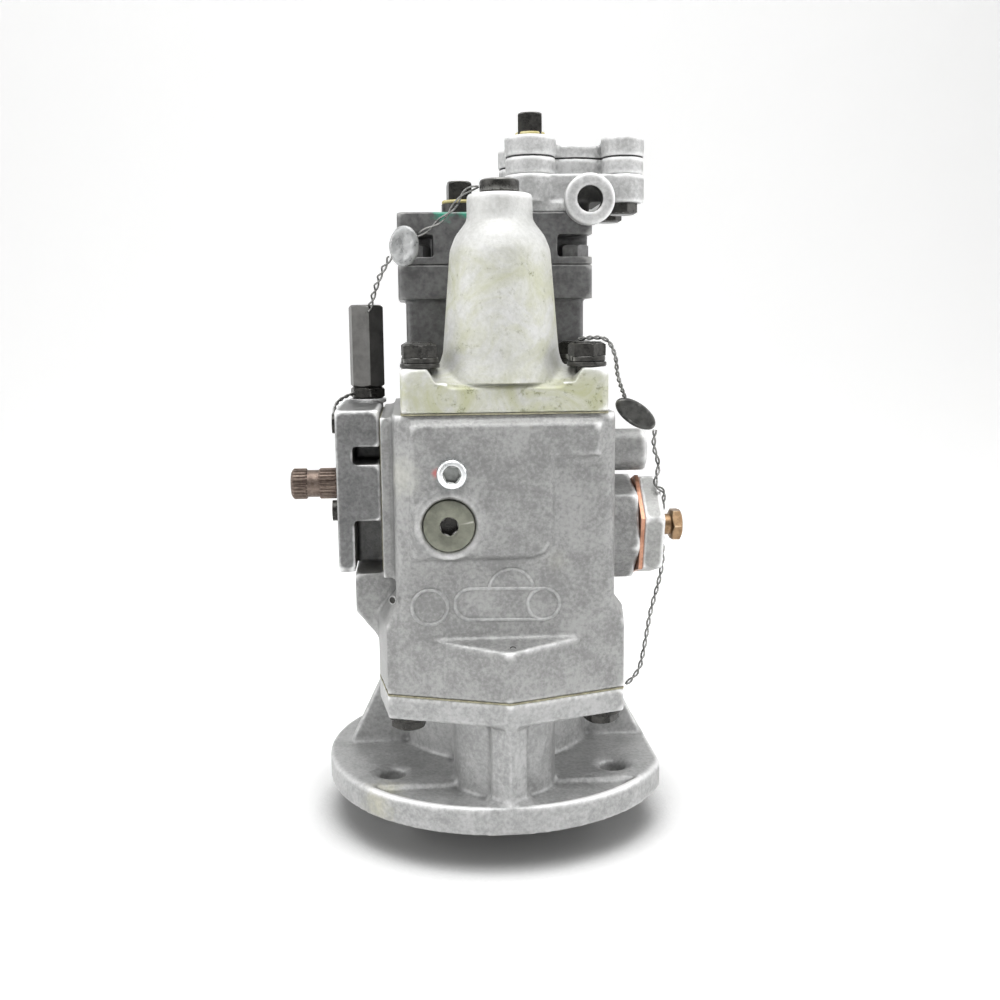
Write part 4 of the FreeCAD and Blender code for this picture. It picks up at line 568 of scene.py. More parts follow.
def put(mesh, at, axis=(0, 0, 1), turn=0.0):
    """Moves a bmesh in millimetres so that its Z runs along the axis from the place at."""
    swing = Vector((0, 0, 1)).rotation_difference(Vector(axis)).to_matrix().to_4x4()
    spin = Matrix.Rotation(math.radians(turn), 4, "Z")
    mesh.transform(Matrix.Translation(Vector(at) * MM) @ swing @ spin @ Matrix.Scale(MM, 4))
    return mesh


def hex_rings(across, low, high, sides=6, chamfer=0.9, low_chamfer=True):
    """Rings down a hexagon's outside, with its corners turned off at 30 degrees."""
    corner = across / 2 / math.cos(math.pi / sides) + 0.05
    face = across / 2 * chamfer
    limit = hex_limit(across, sides)
    slope = math.tan(math.radians(30))
    steps = 5
    radii = [face + (corner - face) * k / steps for k in range(steps + 1)]
    rings = [(r, high - (r - face) * slope, limit) for r in radii]
    if low_chamfer:
        return rings + [(r, low + (r - face) * slope, limit) for r in reversed(radii)]
    return rings + [(corner, low, limit)]


def hex_head(across, high, chamfer=0.9, dish=0.0, sides=6, low_chamfer=False):
    """A bolt's head on the plane z = 0, with a shallow dish in its top if one is given."""
    face = across / 2 * chamfer
    rings = hex_rings(across, 0.0, high, sides, chamfer, low_chamfer)
    return turned([(0, high - dish), (face * 0.62, high - dish), (face * 0.7, high), *rings, (0, 0)])


def flat_ring(radius, hole, thick, edge):
    """A washer with its outer edges rolled off."""
    return turned([
        (hole, 0), (hole, thick), (radius - edge, thick), (radius - edge * 0.3, thick - edge * 0.3),
        (radius, thick - edge), (radius, edge), (radius - edge * 0.3, edge * 0.3), (radius - edge, 0),
    ])


def split_ring(radius, hole, thick, gap, rise):
    """A spring lock washer: a ring cut through, its two ends standing a little apart."""
    mesh = bmesh.new()
    count = 48
    corner = 0.25
    section = [
        (hole, 0), (radius - corner, 0), (radius, corner), (radius, thick - corner),
        (radius - corner, thick), (hole, thick),
    ]
    rows = []
    for k in range(count + 1):
        share = k / count
        angle = gap / 2 + (2 * math.pi - gap) * share
        lift = rise * (share - 0.5)
        rows.append([mesh.verts.new((r * math.cos(angle), r * math.sin(angle), z + lift)) for r, z in section])
    bridge(mesh, zip(rows, rows[1:]))
    mesh.faces.new(rows[0])
    mesh.faces.new(rows[-1][::-1])
    bmesh.ops.recalc_face_normals(mesh, faces=mesh.faces)
    return mesh


def join_meshes(parts):
    """One bmesh with the parts side by side."""
    whole = bmesh.new()
    for part in parts:
        data = bpy.data.meshes.new("part")
        part.to_mesh(data)
        part.free()
        whole.from_mesh(data)
        bpy.data.meshes.remove(data)
    return whole


def shade_hollow(obj, finish, axis_place, axis, radius, depth, deepest=40.0):
    """Paints shade into a bore: gives a darker finish to its faces between two depths, all in millimetres."""
    obj.data.materials.append(FINISH[finish])
    place, way = Vector(axis_place) * MM, Vector(axis).normalized()
    for face in obj.data.polygons:
        step = face.center - place
        along = step.dot(way)
        if -deepest * MM < along < -depth * MM and (step - way * along).length < radius * MM:
            face.material_index = 1


def pressed_seal(name, place, normal, long_way, half_long, half_short, thick, dent):
    """A seal pressed flat on its wire: a pillow with a rolled rim and a dented middle."""
    rim = thick / 2
    rings = [
        (0, rim - dent), (0.45, rim - dent), (0.62, rim - dent * 0.5), (0.74, rim), (0.86, rim * 0.94),
        (0.95, rim * 0.66), (1.0, rim * 0.2), (1.0, -rim * 0.2), (0.95, -rim * 0.66), (0.86, -rim * 0.94),
        (0.74, -rim), (0.62, -rim + dent * 0.5), (0.45, -rim + dent), (0, -rim + dent),
    ]
    mesh = turned(rings)
    out = Vector(normal).normalized()
    along = Vector(long_way)
    along = (along - out * along.dot(out)).normalized()
    side = along.cross(out)
    turn = Matrix((side * half_short, along * half_long, out)).transposed().to_4x4()
    mesh.transform(Matrix.Translation(Vector(place)) @ turn)
    uneven, fineness = 0.35, 0.35
    for vert in mesh.verts:
        vert.co += out * uneven * mathutils_noise.noise(vert.co * fineness)
    mesh.transform(Matrix.Scale(MM, 4))
    bmesh.ops.recalc_face_normals(mesh, faces=mesh.faces)
    obj = from_bmesh(name, mesh, sharp=50.0)
    mark_bends(obj.data)
    return obj


# Geometry Nodes


def node_tree(name, inputs):
    """An empty geometry tree with named inputs, and the sockets of its two ends."""
    tree = bpy.data.node_groups.new(name, "GeometryNodeTree")
    tree.interface.new_socket("Geometry", in_out="INPUT", socket_type="NodeSocketGeometry")
    tree.interface.new_socket("Geometry", in_out="OUTPUT", socket_type="NodeSocketGeometry")
    for label, kind, value in inputs:
        socket = tree.interface.new_socket(label, in_out="INPUT", socket_type=f"NodeSocket{kind}")
        if value is not None:
            socket.default_value = value
    return tree, tree.nodes.new("NodeGroupInput").outputs, tree.nodes.new("NodeGroupOutput").inputs


def end_tree(tree, geometry, given, out):
    """The last nodes of a tree: real geometry in the given material."""
    real = add(tree, "GeometryNodeRealizeInstances", {0: geometry}).outputs[0]
    shown = add(tree, "GeometryNodeSetMaterial", {"Geometry": real, "Material": given["Material"]}).outputs[0]
    tree.links.new(shown, out["Geometry"])
    return tree


def round_wire(tree, path, radius, sides):
    """A smooth round wire of that radius along a curve."""
    ring = add(tree, "GeometryNodeCurvePrimitiveCircle", {"Resolution": sides, "Radius": radius}).outputs[0]
    inputs = {"Curve": path, "Profile Curve": ring, "Fill Caps": True}
    wire = add(tree, "GeometryNodeCurveToMesh", inputs).outputs[0]
    return add(tree, "GeometryNodeSetShadeSmooth", {"Geometry": wire}).outputs[0]


def pattern_tree():
    """Sets one piece on every point of a mesh, turned by the angle that the point carries."""
    tree, given, out = node_tree("fastener_pattern", [("Piece", "Object", None), ("Material", "Material", None)])
    piece = add(tree, "GeometryNodeObjectInfo", {"Object": given["Piece"]}).outputs["Geometry"]
    turn = add(tree, "GeometryNodeInputNamedAttribute", {"Name": "turn"}, data_type="FLOAT").outputs["Attribute"]
    rotation = add(tree, "ShaderNodeCombineXYZ", {"Z": turn}).outputs[0]
    points = add(tree, "GeometryNodeMeshToPoints", {"Mesh": given["Geometry"]}).outputs[0]
    inputs = {"Points": points, "Instance": piece, "Rotation": rotation}
    return end_tree(tree, add(tree, "GeometryNodeInstanceOnPoints", inputs).outputs[0], given, out)


def strand_tree():
    """Lays twisted strands round a path, each a round wire, and winds them at a pitch."""
    tree, given, out = node_tree("twisted_strands", [
        ("Strand Radius", "Float", 0.0004), ("Spread", "Float", 0.0004), ("Pitch", "Float", 0.006),
        ("Step", "Float", 0.0005), ("Material", "Material", None),
    ])
    path = add(tree, "GeometryNodeMeshToCurve", {"Mesh": given["Geometry"]}).outputs[0]
    inputs = {"Curve": path, "Length": given["Step"]}
    path = add(tree, "GeometryNodeResampleCurve", inputs, mode="LENGTH").outputs[0]
    along = add(tree, "GeometryNodeSplineParameter").outputs["Length"]
    normal = add(tree, "GeometryNodeInputNormal").outputs[0]
    tangent = add(tree, "GeometryNodeInputTangent").outputs[0]
    across = add(tree, "ShaderNodeVectorMath", {0: tangent, 1: normal}, operation="CROSS_PRODUCT").outputs[0]
    winding = times(tree, sums(tree, "DIVIDE", along, given["Pitch"]), 2 * math.pi)
    joined = add(tree, "GeometryNodeJoinGeometry")
    for phase in (0.0, math.pi):
        angle = sums(tree, "ADD", winding, phase)
        parts = []
        for way, operation in ((normal, "COSINE"), (across, "SINE")):
            size = times(tree, sums(tree, operation, angle), given["Spread"])
            parts.append(add(tree, "ShaderNodeVectorMath", {0: way, "Scale": size}, operation="SCALE").outputs[0])
        offset = add(tree, "ShaderNodeVectorMath", {0: parts[0], 1: parts[1]}, operation="ADD").outputs[0]
        strand = add(tree, "GeometryNodeSetPosition", {"Geometry": path, "Offset": offset}).outputs[0]
        tree.links.new(strand, joined.inputs[0])
    return end_tree(tree, round_wire(tree, joined.outputs[0], given["Strand Radius"], 7), given, out)


def bead_tree():
    """Lays a round bead along every path of a mesh."""
    tree, given, out = node_tree("cast_beads", [("Radius", "Float", 0.0005), ("Material", "Material", None)])
    path = add(tree, "GeometryNodeMeshToCurve", {"Mesh": given["Geometry"]}).outputs[0]
    return end_tree(tree, round_wire(tree, path, given["Radius"], 10), given, out)


def run_tree(obj, builder, **values):
    """Runs a geometry tree on an object and leaves the plain mesh that it makes."""
    tree = bpy.data.node_groups.get(builder.__name__) or builder()
    tree.name = builder.__name__
    modifier = obj.modifiers.new("nodes", "NODES")
    modifier.node_group = tree
    for item in tree.interface.items_tree:
        label = item.name.replace(" ", "_")
        if item.in_out == "INPUT" and label in values:
            modifier[item.identifier] = values[label]
    return apply_modifiers(obj)


def repeat(name, piece_mesh, places, node, finish=None):
    """Copies of one piece, given in millimetres, on places of (x, y, z, turn in degrees), for a CAD node."""
    piece = from_bmesh(f"{name}_one", put(piece_mesh, (0, 0, 0)))
    mark_bends(piece.data)
    data = bpy.data.meshes.new(name)
    data.from_pydata([[c * MM for c in place[:3]] for place in places], [], [])
    turns = data.attributes.new("turn", "FLOAT", "POINT")
    turns.data.foreach_set("value", [math.radians(place[3]) for place in places])
    material = FINISH[finish or SLOTS[node]]
    obj = run_tree(new_object(name, data), pattern_tree, Piece=piece, Material=material)
    bpy.data.objects.remove(piece)
    return settle(obj, node, finish)


def wire_along(name, route, spread, pitch, strand):
    """A twisted pair along a route in millimetres, on the smooth line that its points steer."""
    curve = bpy.data.curves.new(name, "CURVE")
    curve.dimensions = "3D"
    curve.resolution_u = 16
    spline = curve.splines.new("NURBS")
    spline.points.add(len(route) - 1)
    for point, place in zip(spline.points, route):
        point.co = (*(c * MM for c in place), 1.0)
    spline.order_u = 3
    spline.use_endpoint_u = True
    line = new_object(f"{name}_line", curve)
    bpy.context.view_layer.update()
    data = bpy.data.meshes.new_from_object(line.evaluated_get(bpy.context.evaluated_depsgraph_get()))
    bpy.data.objects.remove(line)
    values = {"Strand_Radius": strand, "Spread": spread * MM, "Pitch": pitch * MM}
    return run_tree(new_object(name, data), strand_tree, Material=FINISH["seal_wire"], **values)


def beads(name, paths, radius, finish):
    """Round beads along paths of places in millimetres; a path that ends where it starts is closed."""
    data = bpy.data.meshes.new(name)
    places, edges = [], []
    for path in paths:
        closed = path[0] == path[-1]
        first = len(places)
        places += path[:-1] if closed else path
        edges += [(k, k + 1) for k in range(first, len(places) - 1)]
        if closed:
            edges.append((len(places) - 1, first))
    data.from_pydata([[c * MM for c in place] for place in places], edges, [])
    return run_tree(new_object(name, data), bead_tree, Radius=radius * MM, Material=FINISH[finish])


def arc(centre, radius, start, end, y, steps=40):
    """Places on an arc in the plane of the pump's front, its angles in degrees."""
    turns = [math.radians(start + (end - start) * k / steps) for k in range(steps + 1)]
    places = [(centre[0] + radius * math.cos(t), y, centre[1] + radius * math.sin(t)) for t in turns]
    if abs(end - start) == 360:
        places[-1] = places[0]
    return places


def set_material(obj, finish):
    """Gives an object one finish."""
    obj.data.materials.clear()
    obj.data.materials.append(FINISH[finish])


def dress(obj, node, finish=None):
    """The piece is fixed on a CAD node, rides on its body and takes its slot."""
    set_material(obj, finish or SLOTS[node])
    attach(obj, BODIES[node])
    return obj


def settle(obj, node, finish=None):
    """The piece stands for a CAD node, rides on its body and takes its slot."""
    dress(obj, node, finish)
    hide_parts(node)
    return obj


def make_piece(name, mesh, node, finish=None):
    """A bmesh as the piece that stands for a CAD node, with its edges and corners marked for the wear, the painted
    highlight and the painted shade.
    """
    obj = from_bmesh(name, mesh)
    mark_bends(obj.data)
    return settle(obj, node, finish)


# Operators


class PUMP_OT_stage(bpy.types.Operator):
    """Makes the sweep, the lamps and the camera at the photograph's angle"""

    bl_idname = "pump.stage"
    bl_label = "Stage and Camera"

    def execute(self, context):
        scene = context.scene
        look = scene.pump_stage
        camera = new_object("camera", bpy.data.cameras.new("camera"))
        camera.data.lens = look.lens
        camera.data.sensor_width = 36.0
        camera.data.clip_end = 20.0
        level = math.cos(look.pitch)
        forward = Vector((math.sin(look.yaw) * level, math.cos(look.yaw) * level, -math.sin(look.pitch)))
        right = Vector((math.cos(look.yaw), -math.sin(look.yaw), 0.0))
        up = right.cross(forward)
        turned_right = right * math.cos(look.roll) + up * math.sin(look.roll)
        turned_up = up * math.cos(look.roll) - right * math.sin(look.roll)
        turn = Matrix((turned_right, turned_up, -forward)).transposed().to_4x4()
        camera.matrix_world = Matrix.Translation(look.eye) @ turn
        scene.camera = camera
        scene.view_settings.view_transform = "Standard"
        self.sweep()
        aim = Vector((0, 0, 0.12))
        for name, place, size, power in (
            ("lamp_left", (-1.3, -0.35, 0.7), 1.0, look.side_power),
            ("lamp_right", (1.3, -0.25, 0.7), 1.0, look.side_power),
            ("lamp_top", (0.0, -0.35, 1.45), 1.1, look.top_power),
        ):
            lamp = bpy.data.lights.new(name, "AREA")
            lamp.size = size
            lamp.energy = power
            obj = new_object(name, lamp)
            obj.location = place
            obj.rotation_euler = (aim - Vector(place)).to_track_quat("-Z", "Y").to_euler()
        self.world(scene, look)
        return {"FINISHED"}

    @staticmethod
    def sweep():
        """A floor that curves up into a wall behind the pump, with a contact shadow painted into it near the pump."""
        floor_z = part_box("front_cover")[0].z
        half, front, back, rise, radius = 4.0, -3.0, 1.9, 3.0, 0.9
        profile = [(front, 0.0)]
        steps = 20
        for i in range(steps + 1):
            angle = math.radians(90 * i / steps)
            profile.append((back - radius + radius * math.sin(angle), radius - radius * math.cos(angle)))
        profile.append((back, rise))
        mesh = bmesh.new()
        rows = [[mesh.verts.new((x, y, floor_z + z)) for y, z in profile] for x in (-half, half)]
        left, right = rows
        for i in range(len(profile) - 1):
            mesh.faces.new((left[i], right[i], right[i + 1], left[i + 1]))
        sweep = from_bmesh("sweep", mesh)
        material, tree, shader = new_material("white_sweep")
        reach, painted_shadow, white, lifted_by = 0.09, (0.44, 0.44, 0.44), (0.97, 0.97, 0.97), 0.24
        # Painted contact shadow: near the pump, as ambient occlusion finds it, the floor's colour goes grey and its
        # glow fades.
        near = add(tree, "ShaderNodeAmbientOcclusion", {"Distance": reach}, samples=8)
        open_sky = ramp(tree, near.outputs["AO"], 0.35, 0.9)
        tree.links.new(blend(tree, open_sky, painted_shadow, white), shader.inputs["Base Color"])
        shader.inputs["Roughness"].default_value = 0.75
        shader.inputs["Specular IOR Level"].default_value = 0.1
        lift = times(tree, times(tree, seen_directly(tree), lifted_by), open_sky)
        glow = add(tree, "ShaderNodeEmission", {"Color": (1, 1, 1, 1), "Strength": lift})
        both = add(tree, "ShaderNodeAddShader", {0: shader.outputs[0], 1: glow.outputs[0]})
        tree.links.new(both.outputs[0], tree.nodes["Material Output"].inputs["Surface"])
        sweep.data.materials.append(material)
        return sweep

    @staticmethod
    def world(scene, look):
        """Even light all round, a white backdrop, and a dimmer room in front for gloss to show."""
        world = bpy.data.worlds.new("studio")
        scene.world = world
        world.use_nodes = True
        tree = world.node_tree
        light = tree.nodes["Background"]
        light.inputs["Color"].default_value = (0.98, 0.98, 0.97, 1.0)
        light.inputs["Strength"].default_value = look.sky
        way = add(tree, "ShaderNodeSeparateXYZ", {0: add(tree, "ShaderNodeTexCoord").outputs["Generated"]})
        toward = ramp(tree, way.outputs["Y"], -0.9, 0.1, look.room, 1.0)
        above = ramp(tree, way.outputs["Z"], 0.3, 0.9)
        shown = blend(tree, above, toward, (1.0, 1.0, 1.0))
        seen = add(tree, "ShaderNodeBackground", {"Color": (1, 1, 1, 1), "Strength": 1.0})
        gloss = add(tree, "ShaderNodeBackground", {"Color": shown, "Strength": 1.0})
        path = add(tree, "ShaderNodeLightPath").outputs
        first = add(tree, "ShaderNodeMixShader", {0: path["Is Glossy Ray"], 1: light.outputs[0], 2: gloss.outputs[0]})
        direct = sums(tree, "MAXIMUM", path["Is Camera Ray"], path["Is Transmission Ray"])
        mixed = add(tree, "ShaderNodeMixShader", {0: direct, 1: first.outputs[0], 2: seen.outputs[0]})
        tree.links.new(mixed.outputs[0], tree.nodes["World Output"].inputs["Surface"])


def seen_directly(tree):
    """1 for rays from the camera, a gloss or a clear body."""
    path = add(tree, "ShaderNodeLightPath").outputs
    either = sums(tree, "MAXIMUM", path["Is Camera Ray"], path["Is Glossy Ray"])
    return sums(tree, "MAXIMUM", either, path["Is Transmission Ray"])


class PUMP_OT_finishes(bpy.types.Operator):
    """Gives every CAD node its slot's finish"""

    bl_idname = "pump.finishes"
    bl_label = "Finishes"

    def execute(self, context):
        FINISH.update(make_finishes())
        for node, obj in frame["nodes"].items():
            set_material(obj, SLOTS[node])
        return {"FINISHED"}


def eased(share):
    """A share held between 0 and 1, with a smooth start and end."""
    share = min(1.0, max(0.0, share))
    return share * share * (3 - 2 * share)


def sink_front(data):
    """Slopes the spring cover's base down towards the front, between its bolt pads."""
    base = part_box("spring_cover_gasket")[1].z / MM
    top = COVER_TOP / MM
    start, run, half_width, side, drop, fade = -48.0, 12.0, 30.0, 4.0, 5.5, 12.0
    for vert in data.vertices:
        x, y, z = vert.co / MM
        share = eased((start - y) / run) * eased((half_width - abs(x)) / side)
        if z > base and share:
            rise = min(1.0, (z - base) / (top - base)) ** 2
            vert.co.z -= drop * MM * share * rise * min(1.0, max(0.0, (top + fade - z) / fade))


class PUMP_OT_castings(bpy.types.Operator):
    """Replaces the aluminium castings with soft edged ones"""

    bl_idname = "pump.castings"
    bl_label = "Castings"

    def execute(self, context):
        look = context.scene.pump_castings
        large, small = (look.large_voxel, look.large_steps), (look.small_voxel, look.small_steps)
        crisp = (look.small_voxel, 2)
        gasket = 0.6 * MM
        joints = (PLATE_TOP, PLATE_TOP + gasket, HOUSING_TOP)
        for node, skin, keep, finish in (
            ("main_housing", large, joints, "housing_aluminium"),
            ("front_cover", large, joints, "cast_aluminium"),
            ("spring_cover", large, (HOUSING_TOP + gasket,), "bell_aluminium"),
            ("throttle_cover", small, (), "plate_aluminium"),
            ("damper_port_block", small, (), "damper_aluminium"),
            ("damper_lower_shell", small, (), "damper_aluminium"),
            ("damper_top_shell", small, (), "damper_aluminium"),
            ("side_cap", small, (), "cap_aluminium"),
            ("gear_pump_body", crisp, (), "black_iron"),
            ("gear_pump_cover", crisp, (), "black_iron"),
        ):
            obj = soften(merged_copy(node), *skin, keep)
            if node == "spring_cover":
                sink_front(obj.data)
            settle(obj, node, finish)
            if node == "damper_port_block":
                # Painted shade in the port's bore.
                shade_hollow(obj, "dark_pit", (37.8, -25.0, 246.4), (0, -1, 0), 7.0, 0.7)
        return {"FINISHED"}


class PUMP_OT_marks(bpy.types.Operator):
    """Raises the cast outlines, the parting line and the ragged top edge, and sinks the small holes with painted
    shade in them
    """

    bl_idname = "pump.marks"
    bl_label = "Cast Marks"

    def execute(self, context):
        y = -61.0
        ring = arc((-30.0, 88.8), 6.9, 0, 360, y)
        right = arc((14.2, 89.0), 6.2, -90, 90, y)
        left = arc((-14.1, 89.6), 6.2, 90, 270, y)
        capsule = right + left + [right[0]]
        big = arc((1.6, 94.6), 8.6, 4, 176, y)
        inner = arc((14.2, 89.0), 6.2, 95, 265, y)
        heights = (160.4, 160.9, 160.2, 160.6, 161.3, 161.0, 160.2, 159.4, 159.9, 161.0, 161.4, 160.9)
        lip = [(-36.0 + 73.0 * k / (len(heights) - 1), -60.9, z) for k, z in enumerate(heights)]
        line = [(0.0, -74.2, 1.0), (0.0, -74.2, 10.6)]
        # The raised outlines on the housing take the lighter cover finish as a painted highlight along their ridges.
        for name, node, paths, radius, finish in (
            ("raised_outlines", "main_housing", [ring, capsule, big, inner], 0.75, "cast_aluminium"),
            ("ragged_top_edge", "main_housing", [lip], 0.75, "housing_aluminium"),
            ("parting_line", "front_cover", [line], 0.36, "cast_aluminium"),
        ):
            dress(beads(name, paths, radius, finish), node, finish)
        for name, place, way, radius in (
            ("ledge_hole", (1.5, -68.7, 73.5), (0, -0.32, 0.95), 1.2),
            ("corner_hole", (-44.3, -58.2, 91.4), (-0.5, -0.866, 0), 1.3),
        ):
            pit = turned([
                (0, -0.2), (radius * 0.8, -0.1), (radius, 0.3), (radius * 1.25, 0.35), (radius * 1.4, 0.0), (0, -0.6),
            ], 24)
            obj = from_bmesh(name, put(pit, place, way))
            dress(obj, "main_housing", "housing_aluminium")
            # Painted shade in the hole.
            shade_hollow(obj, "dark_pit", Vector(place) + Vector(way) * 0.3, way, radius * 0.95, 0.0)
        return {"FINISHED"}


class PUMP_OT_bolts(bpy.types.Operator):
    """Makes the hex bolts, their washers and the small screws"""

    bl_idname = "pump.bolts"
    bl_label = "Bolts and Washers"

    def execute(self, context):
        size = context.scene.pump_bolts
        shank, small, head_high = size.bolt_radius, size.small_across, 5.4
        places = [(sx * 32.0, y) for sx in (1, -1) for y in (-54.0, -24.0)]
        turns = [12.0, 40.0, 4.0, 25.0]
        low = COVER_TOP / MM
        flat = flat_ring(7.6, shank + 0.2, 1.8, 0.5)
        spots = [(x, y, low, 0.0) for x, y in places]
        repeat("flat_washers", flat, spots, "spring_cover_flat_washers")
        lock = split_ring(7.1, shank + 0.2, 2.0, 0.12, 0.2)
        spots = [(x, y, low + 1.9, turn + 200.0) for (x, y), turn in zip(places, turns)]
        repeat("lock_washers", lock, spots, "spring_cover_lock_washers")
        bolt = join_meshes([hex_head(size.bolt_across, head_high, 0.84, dish=0.35), rod(shank, 0.1, -31.5, 24)])
        spots = [(x, y, low + 4.0, turn) for (x, y), turn in zip(places, turns)]
        repeat("cover_bolts", bolt, spots, "spring_cover_bolts")
        bolt = join_meshes([
            flipped(hex_head(size.bolt_across, head_high, 0.88, dish=0.35)),
            turned([(0, 0), (8.3, 0), (8.3, -1.0), (7.7, -1.6), (0, -1.6)], 48),
            rod(shank, 0, 19.5, 24),
        ])
        plate = [(39.0, -49.0, 20.0), (-39.0, -49.0, 50.0), (45.0, 38.0, 5.0), (-45.0, 38.0, 33.0)]
        spots = [(x, y, 42.3, turn) for x, y, turn in plate]
        repeat("plate_bolts", bolt, spots, "front_cover_bolts")
        bolt = join_meshes([hex_head(small, head_high, 0.86), rod(3, 0.1, -72.9, 20)])
        corners = [(33.0, -10, 8), (-33.0, -10, 31), (33.0, 36, 0), (-33.0, 36, 17)]
        spots = [(x, y, 224.0, turn) for x, y, turn in corners]
        repeat("gear_pump_heads", bolt, spots, "gear_pump_bolts", "black_iron")
        spots = [(53.7, y, 246.0, turn) for y, turn in ((-8.0, 10), (28.0, 25))]
        repeat("damper_heads", flipped(hex_head(small, 4.6, 0.86)), spots, "damper_bolts")
        return {"FINISHED"}


class PUMP_OT_plugs(bpy.types.Operator):
    """Makes the socket plug, the vent screw, the square plugs, the idle plug and the tamper cap"""

    bl_idname = "pump.plugs"
    bl_label = "Plugs and Caps"

    def execute(self, context):
        front = (0, -1, 0)
        wide, narrow = context.scene.pump_bolts.plug_socket, 5.6
        socket, small = hex_limit(wide), hex_limit(narrow)
        for name, node, at, turn, finish, mouth, rings in (
            ("front_plug", "front_socket_plug", (-22.2, -66.6, 121.3), 10.0, "dark_steel", 3.8, [
                (0, -6.0), (wide, -6.0, socket), (wide, -0.6, socket), (wide * 0.56, -0.25), (wide * 0.64, 0.0),
                (9.2, 0.0), (9.6, -0.12), (9.8, -0.5), (9.8, -13.5), (0, -13.5),
            ]),
            ("vent_screw_head", "vent_screw", (-20.9, -69.0, 141.2), 20.0, "socket_metal", 3.5, [
                (0, -3.4), (narrow, -3.4, small), (narrow, -0.7, small), (3.55, -0.2), (3.8, 0.0), (4.5, 0.0),
                (5.2, -0.25), (5.65, -0.8), (5.8, -1.6), (5.8, -5.0), (3.5, -5.0), (3.5, -14.9), (0, -14.9),
            ]),
        ):
            obj = make_piece(name, put(turned(rings, 96), at, front, turn), node)
            # Painted shade in the socket: its faces take a darker finish.
            shade_hollow(obj, finish, at, front, mouth, 0.2)
        for node, name, at, reach, collar, stem, turn in (
            ("gear_pump_plug", "pump_square_plug", (-13.9, 2.0, 242.0), 7.4, 5.0, 6.0, 4.0),
            ("damper_plug", "damper_square_plug", (15.3, -8.0, 272.6), 6.4, 0.4, 0.0, -8.0),
        ):
            parts = [
                raised(hex_head(9.6, 9.0, 0.98, sides=4), collar),
                turned([(0, collar), (reach - 0.6, collar), (reach, collar - 0.3), (reach, 0.0), (0, 0.0)], 48),
            ]
            if stem:
                parts.append(rod(4.4, 0.1, -stem, 24))
            make_piece(name, put(join_meshes(parts), at, turn=turn), node)
            bead = turned([
                (reach - 2.2, collar + 0.1), (reach - 1.4, collar + 0.9), (reach - 0.4, collar + 1.2),
                (reach - 0.05, collar + 0.5), (reach - 0.3, collar - 0.1),
            ], 48)
            dress(from_bmesh(f"{name}_sealant", put(bead, at)), node, "yellow_sealant")
        plug = join_meshes([
            turned([(0, 4.6), (2.4, 4.6), (2.9, 5.2), (3.6, 5.4), (6.6, 5.4), (7.3, 5.1), (7.65, 4.5),
                    (7.7, 3.9), (7.7, 0.9), (7.4, 0.4), (7.4, 0.0), (0, 0.0)], 160),
            rod(6.0, 0.1, -29.5, 32),
        ])
        make_piece("idle_plug_top", put(plug, (0, -40.0, 246.5)), "idle_plug")
        cap = turned([(0, 35.2), *hex_rings(13.6, 0.0, 35.2), (3.2, 0.0), (3.2, 20.5), (0, 20.5)])
        make_piece("tamper_cap_hex", put(cap, (-54.6, 12.0, 170.4), turn=12.0), "tamper_cap", "blued_steel")
        nut = turned([(3.2, 5.0), *hex_rings(13.6, 0.0, 5.0), (3.2, 0.0)])
        make_piece("lock_nut_hex", put(nut, (-54.6, 12.0, 165.4), turn=12.0), "stop_lock_nut")
        return {"FINISHED"}


class PUMP_OT_throttle(bpy.types.Operator):
    """Makes the serrated throttle shaft and the brass cap screw"""

    bl_idname = "pump.throttle"
    bl_label = "Throttle Shaft and Cap Screw"

    def execute(self, context):
        size = context.scene.pump_throttle
        teeth = toothed(size.teeth, size.tooth_depth)
        tip, plain, out = 6.35, 6.5, 85.5
        rings = [
            (0, out), (4.6, out), (5.5, out - 0.4), (tip, out - 1.2, teeth),
            (tip, 79.4, teeth), (5.6, 78.8), (5.6, 74.2), (tip, 73.6, teeth), (tip, 67.4, teeth),
            (5.9, 66.8), (5.9, 64.4), (plain, 64.2), (plain, -14.0), (0, -14.0),
        ]
        shaft = put(turned(rings, size.teeth * 8), (0, -20.5, 132.5), (-1, 0, 0))
        make_piece("throttle_shaft_serrated", shaft, "throttle_shaft")
        screw = join_meshes([
            raised(hex_head(12.12, 4.6, 0.9, low_chamfer=True), 71.6),
            rod(4.4, 71.7, 65.6, 40),
            rod(3.0, 65.7, 47.5, 24),
        ])
        make_piece("cap_screw_head", put(screw, (0, -25.0, 113.0), (1, 0, 0)), "side_cap_screw")
        return {"FINISHED"}


class PUMP_OT_wires(bpy.types.Operator):
    """Makes the twisted lockwires and their two seals"""

    bl_idname = "pump.wires"
    bl_label = "Lockwires and Seals"

    def execute(self, context):
        strand = context.scene.pump_wires.strand
        for name, node, routes in (
            ("lockwire_left", "seal_wire_left", LEFT_ROUTES),
            ("lockwire_right", "seal_wire_right", RIGHT_ROUTES),
        ):
            for k, (route, spread, pitch) in enumerate(routes):
                settle(wire_along(f"{name}_{k}", route, spread, pitch, strand), node)
        disc = pressed_seal(
            "disc_seal_pillow", (-37.2, -24.0, 228.0), (0.56, 0.83, 0.05), (0.3, 0.1, 1.0), 8.0, 6.9, 2.8, 0.5
        )
        settle(disc, "disc_seal")
        oval = pressed_seal(
            "oval_seal_pillow", (53.5, -42.0, 161.0), (0, 1, 0), (0.82, 0, -0.57), 9.3, 4.5, 3.8, 0.6
        )
        settle(oval, "oval_seal")
        return {"FINISHED"}


# Settings


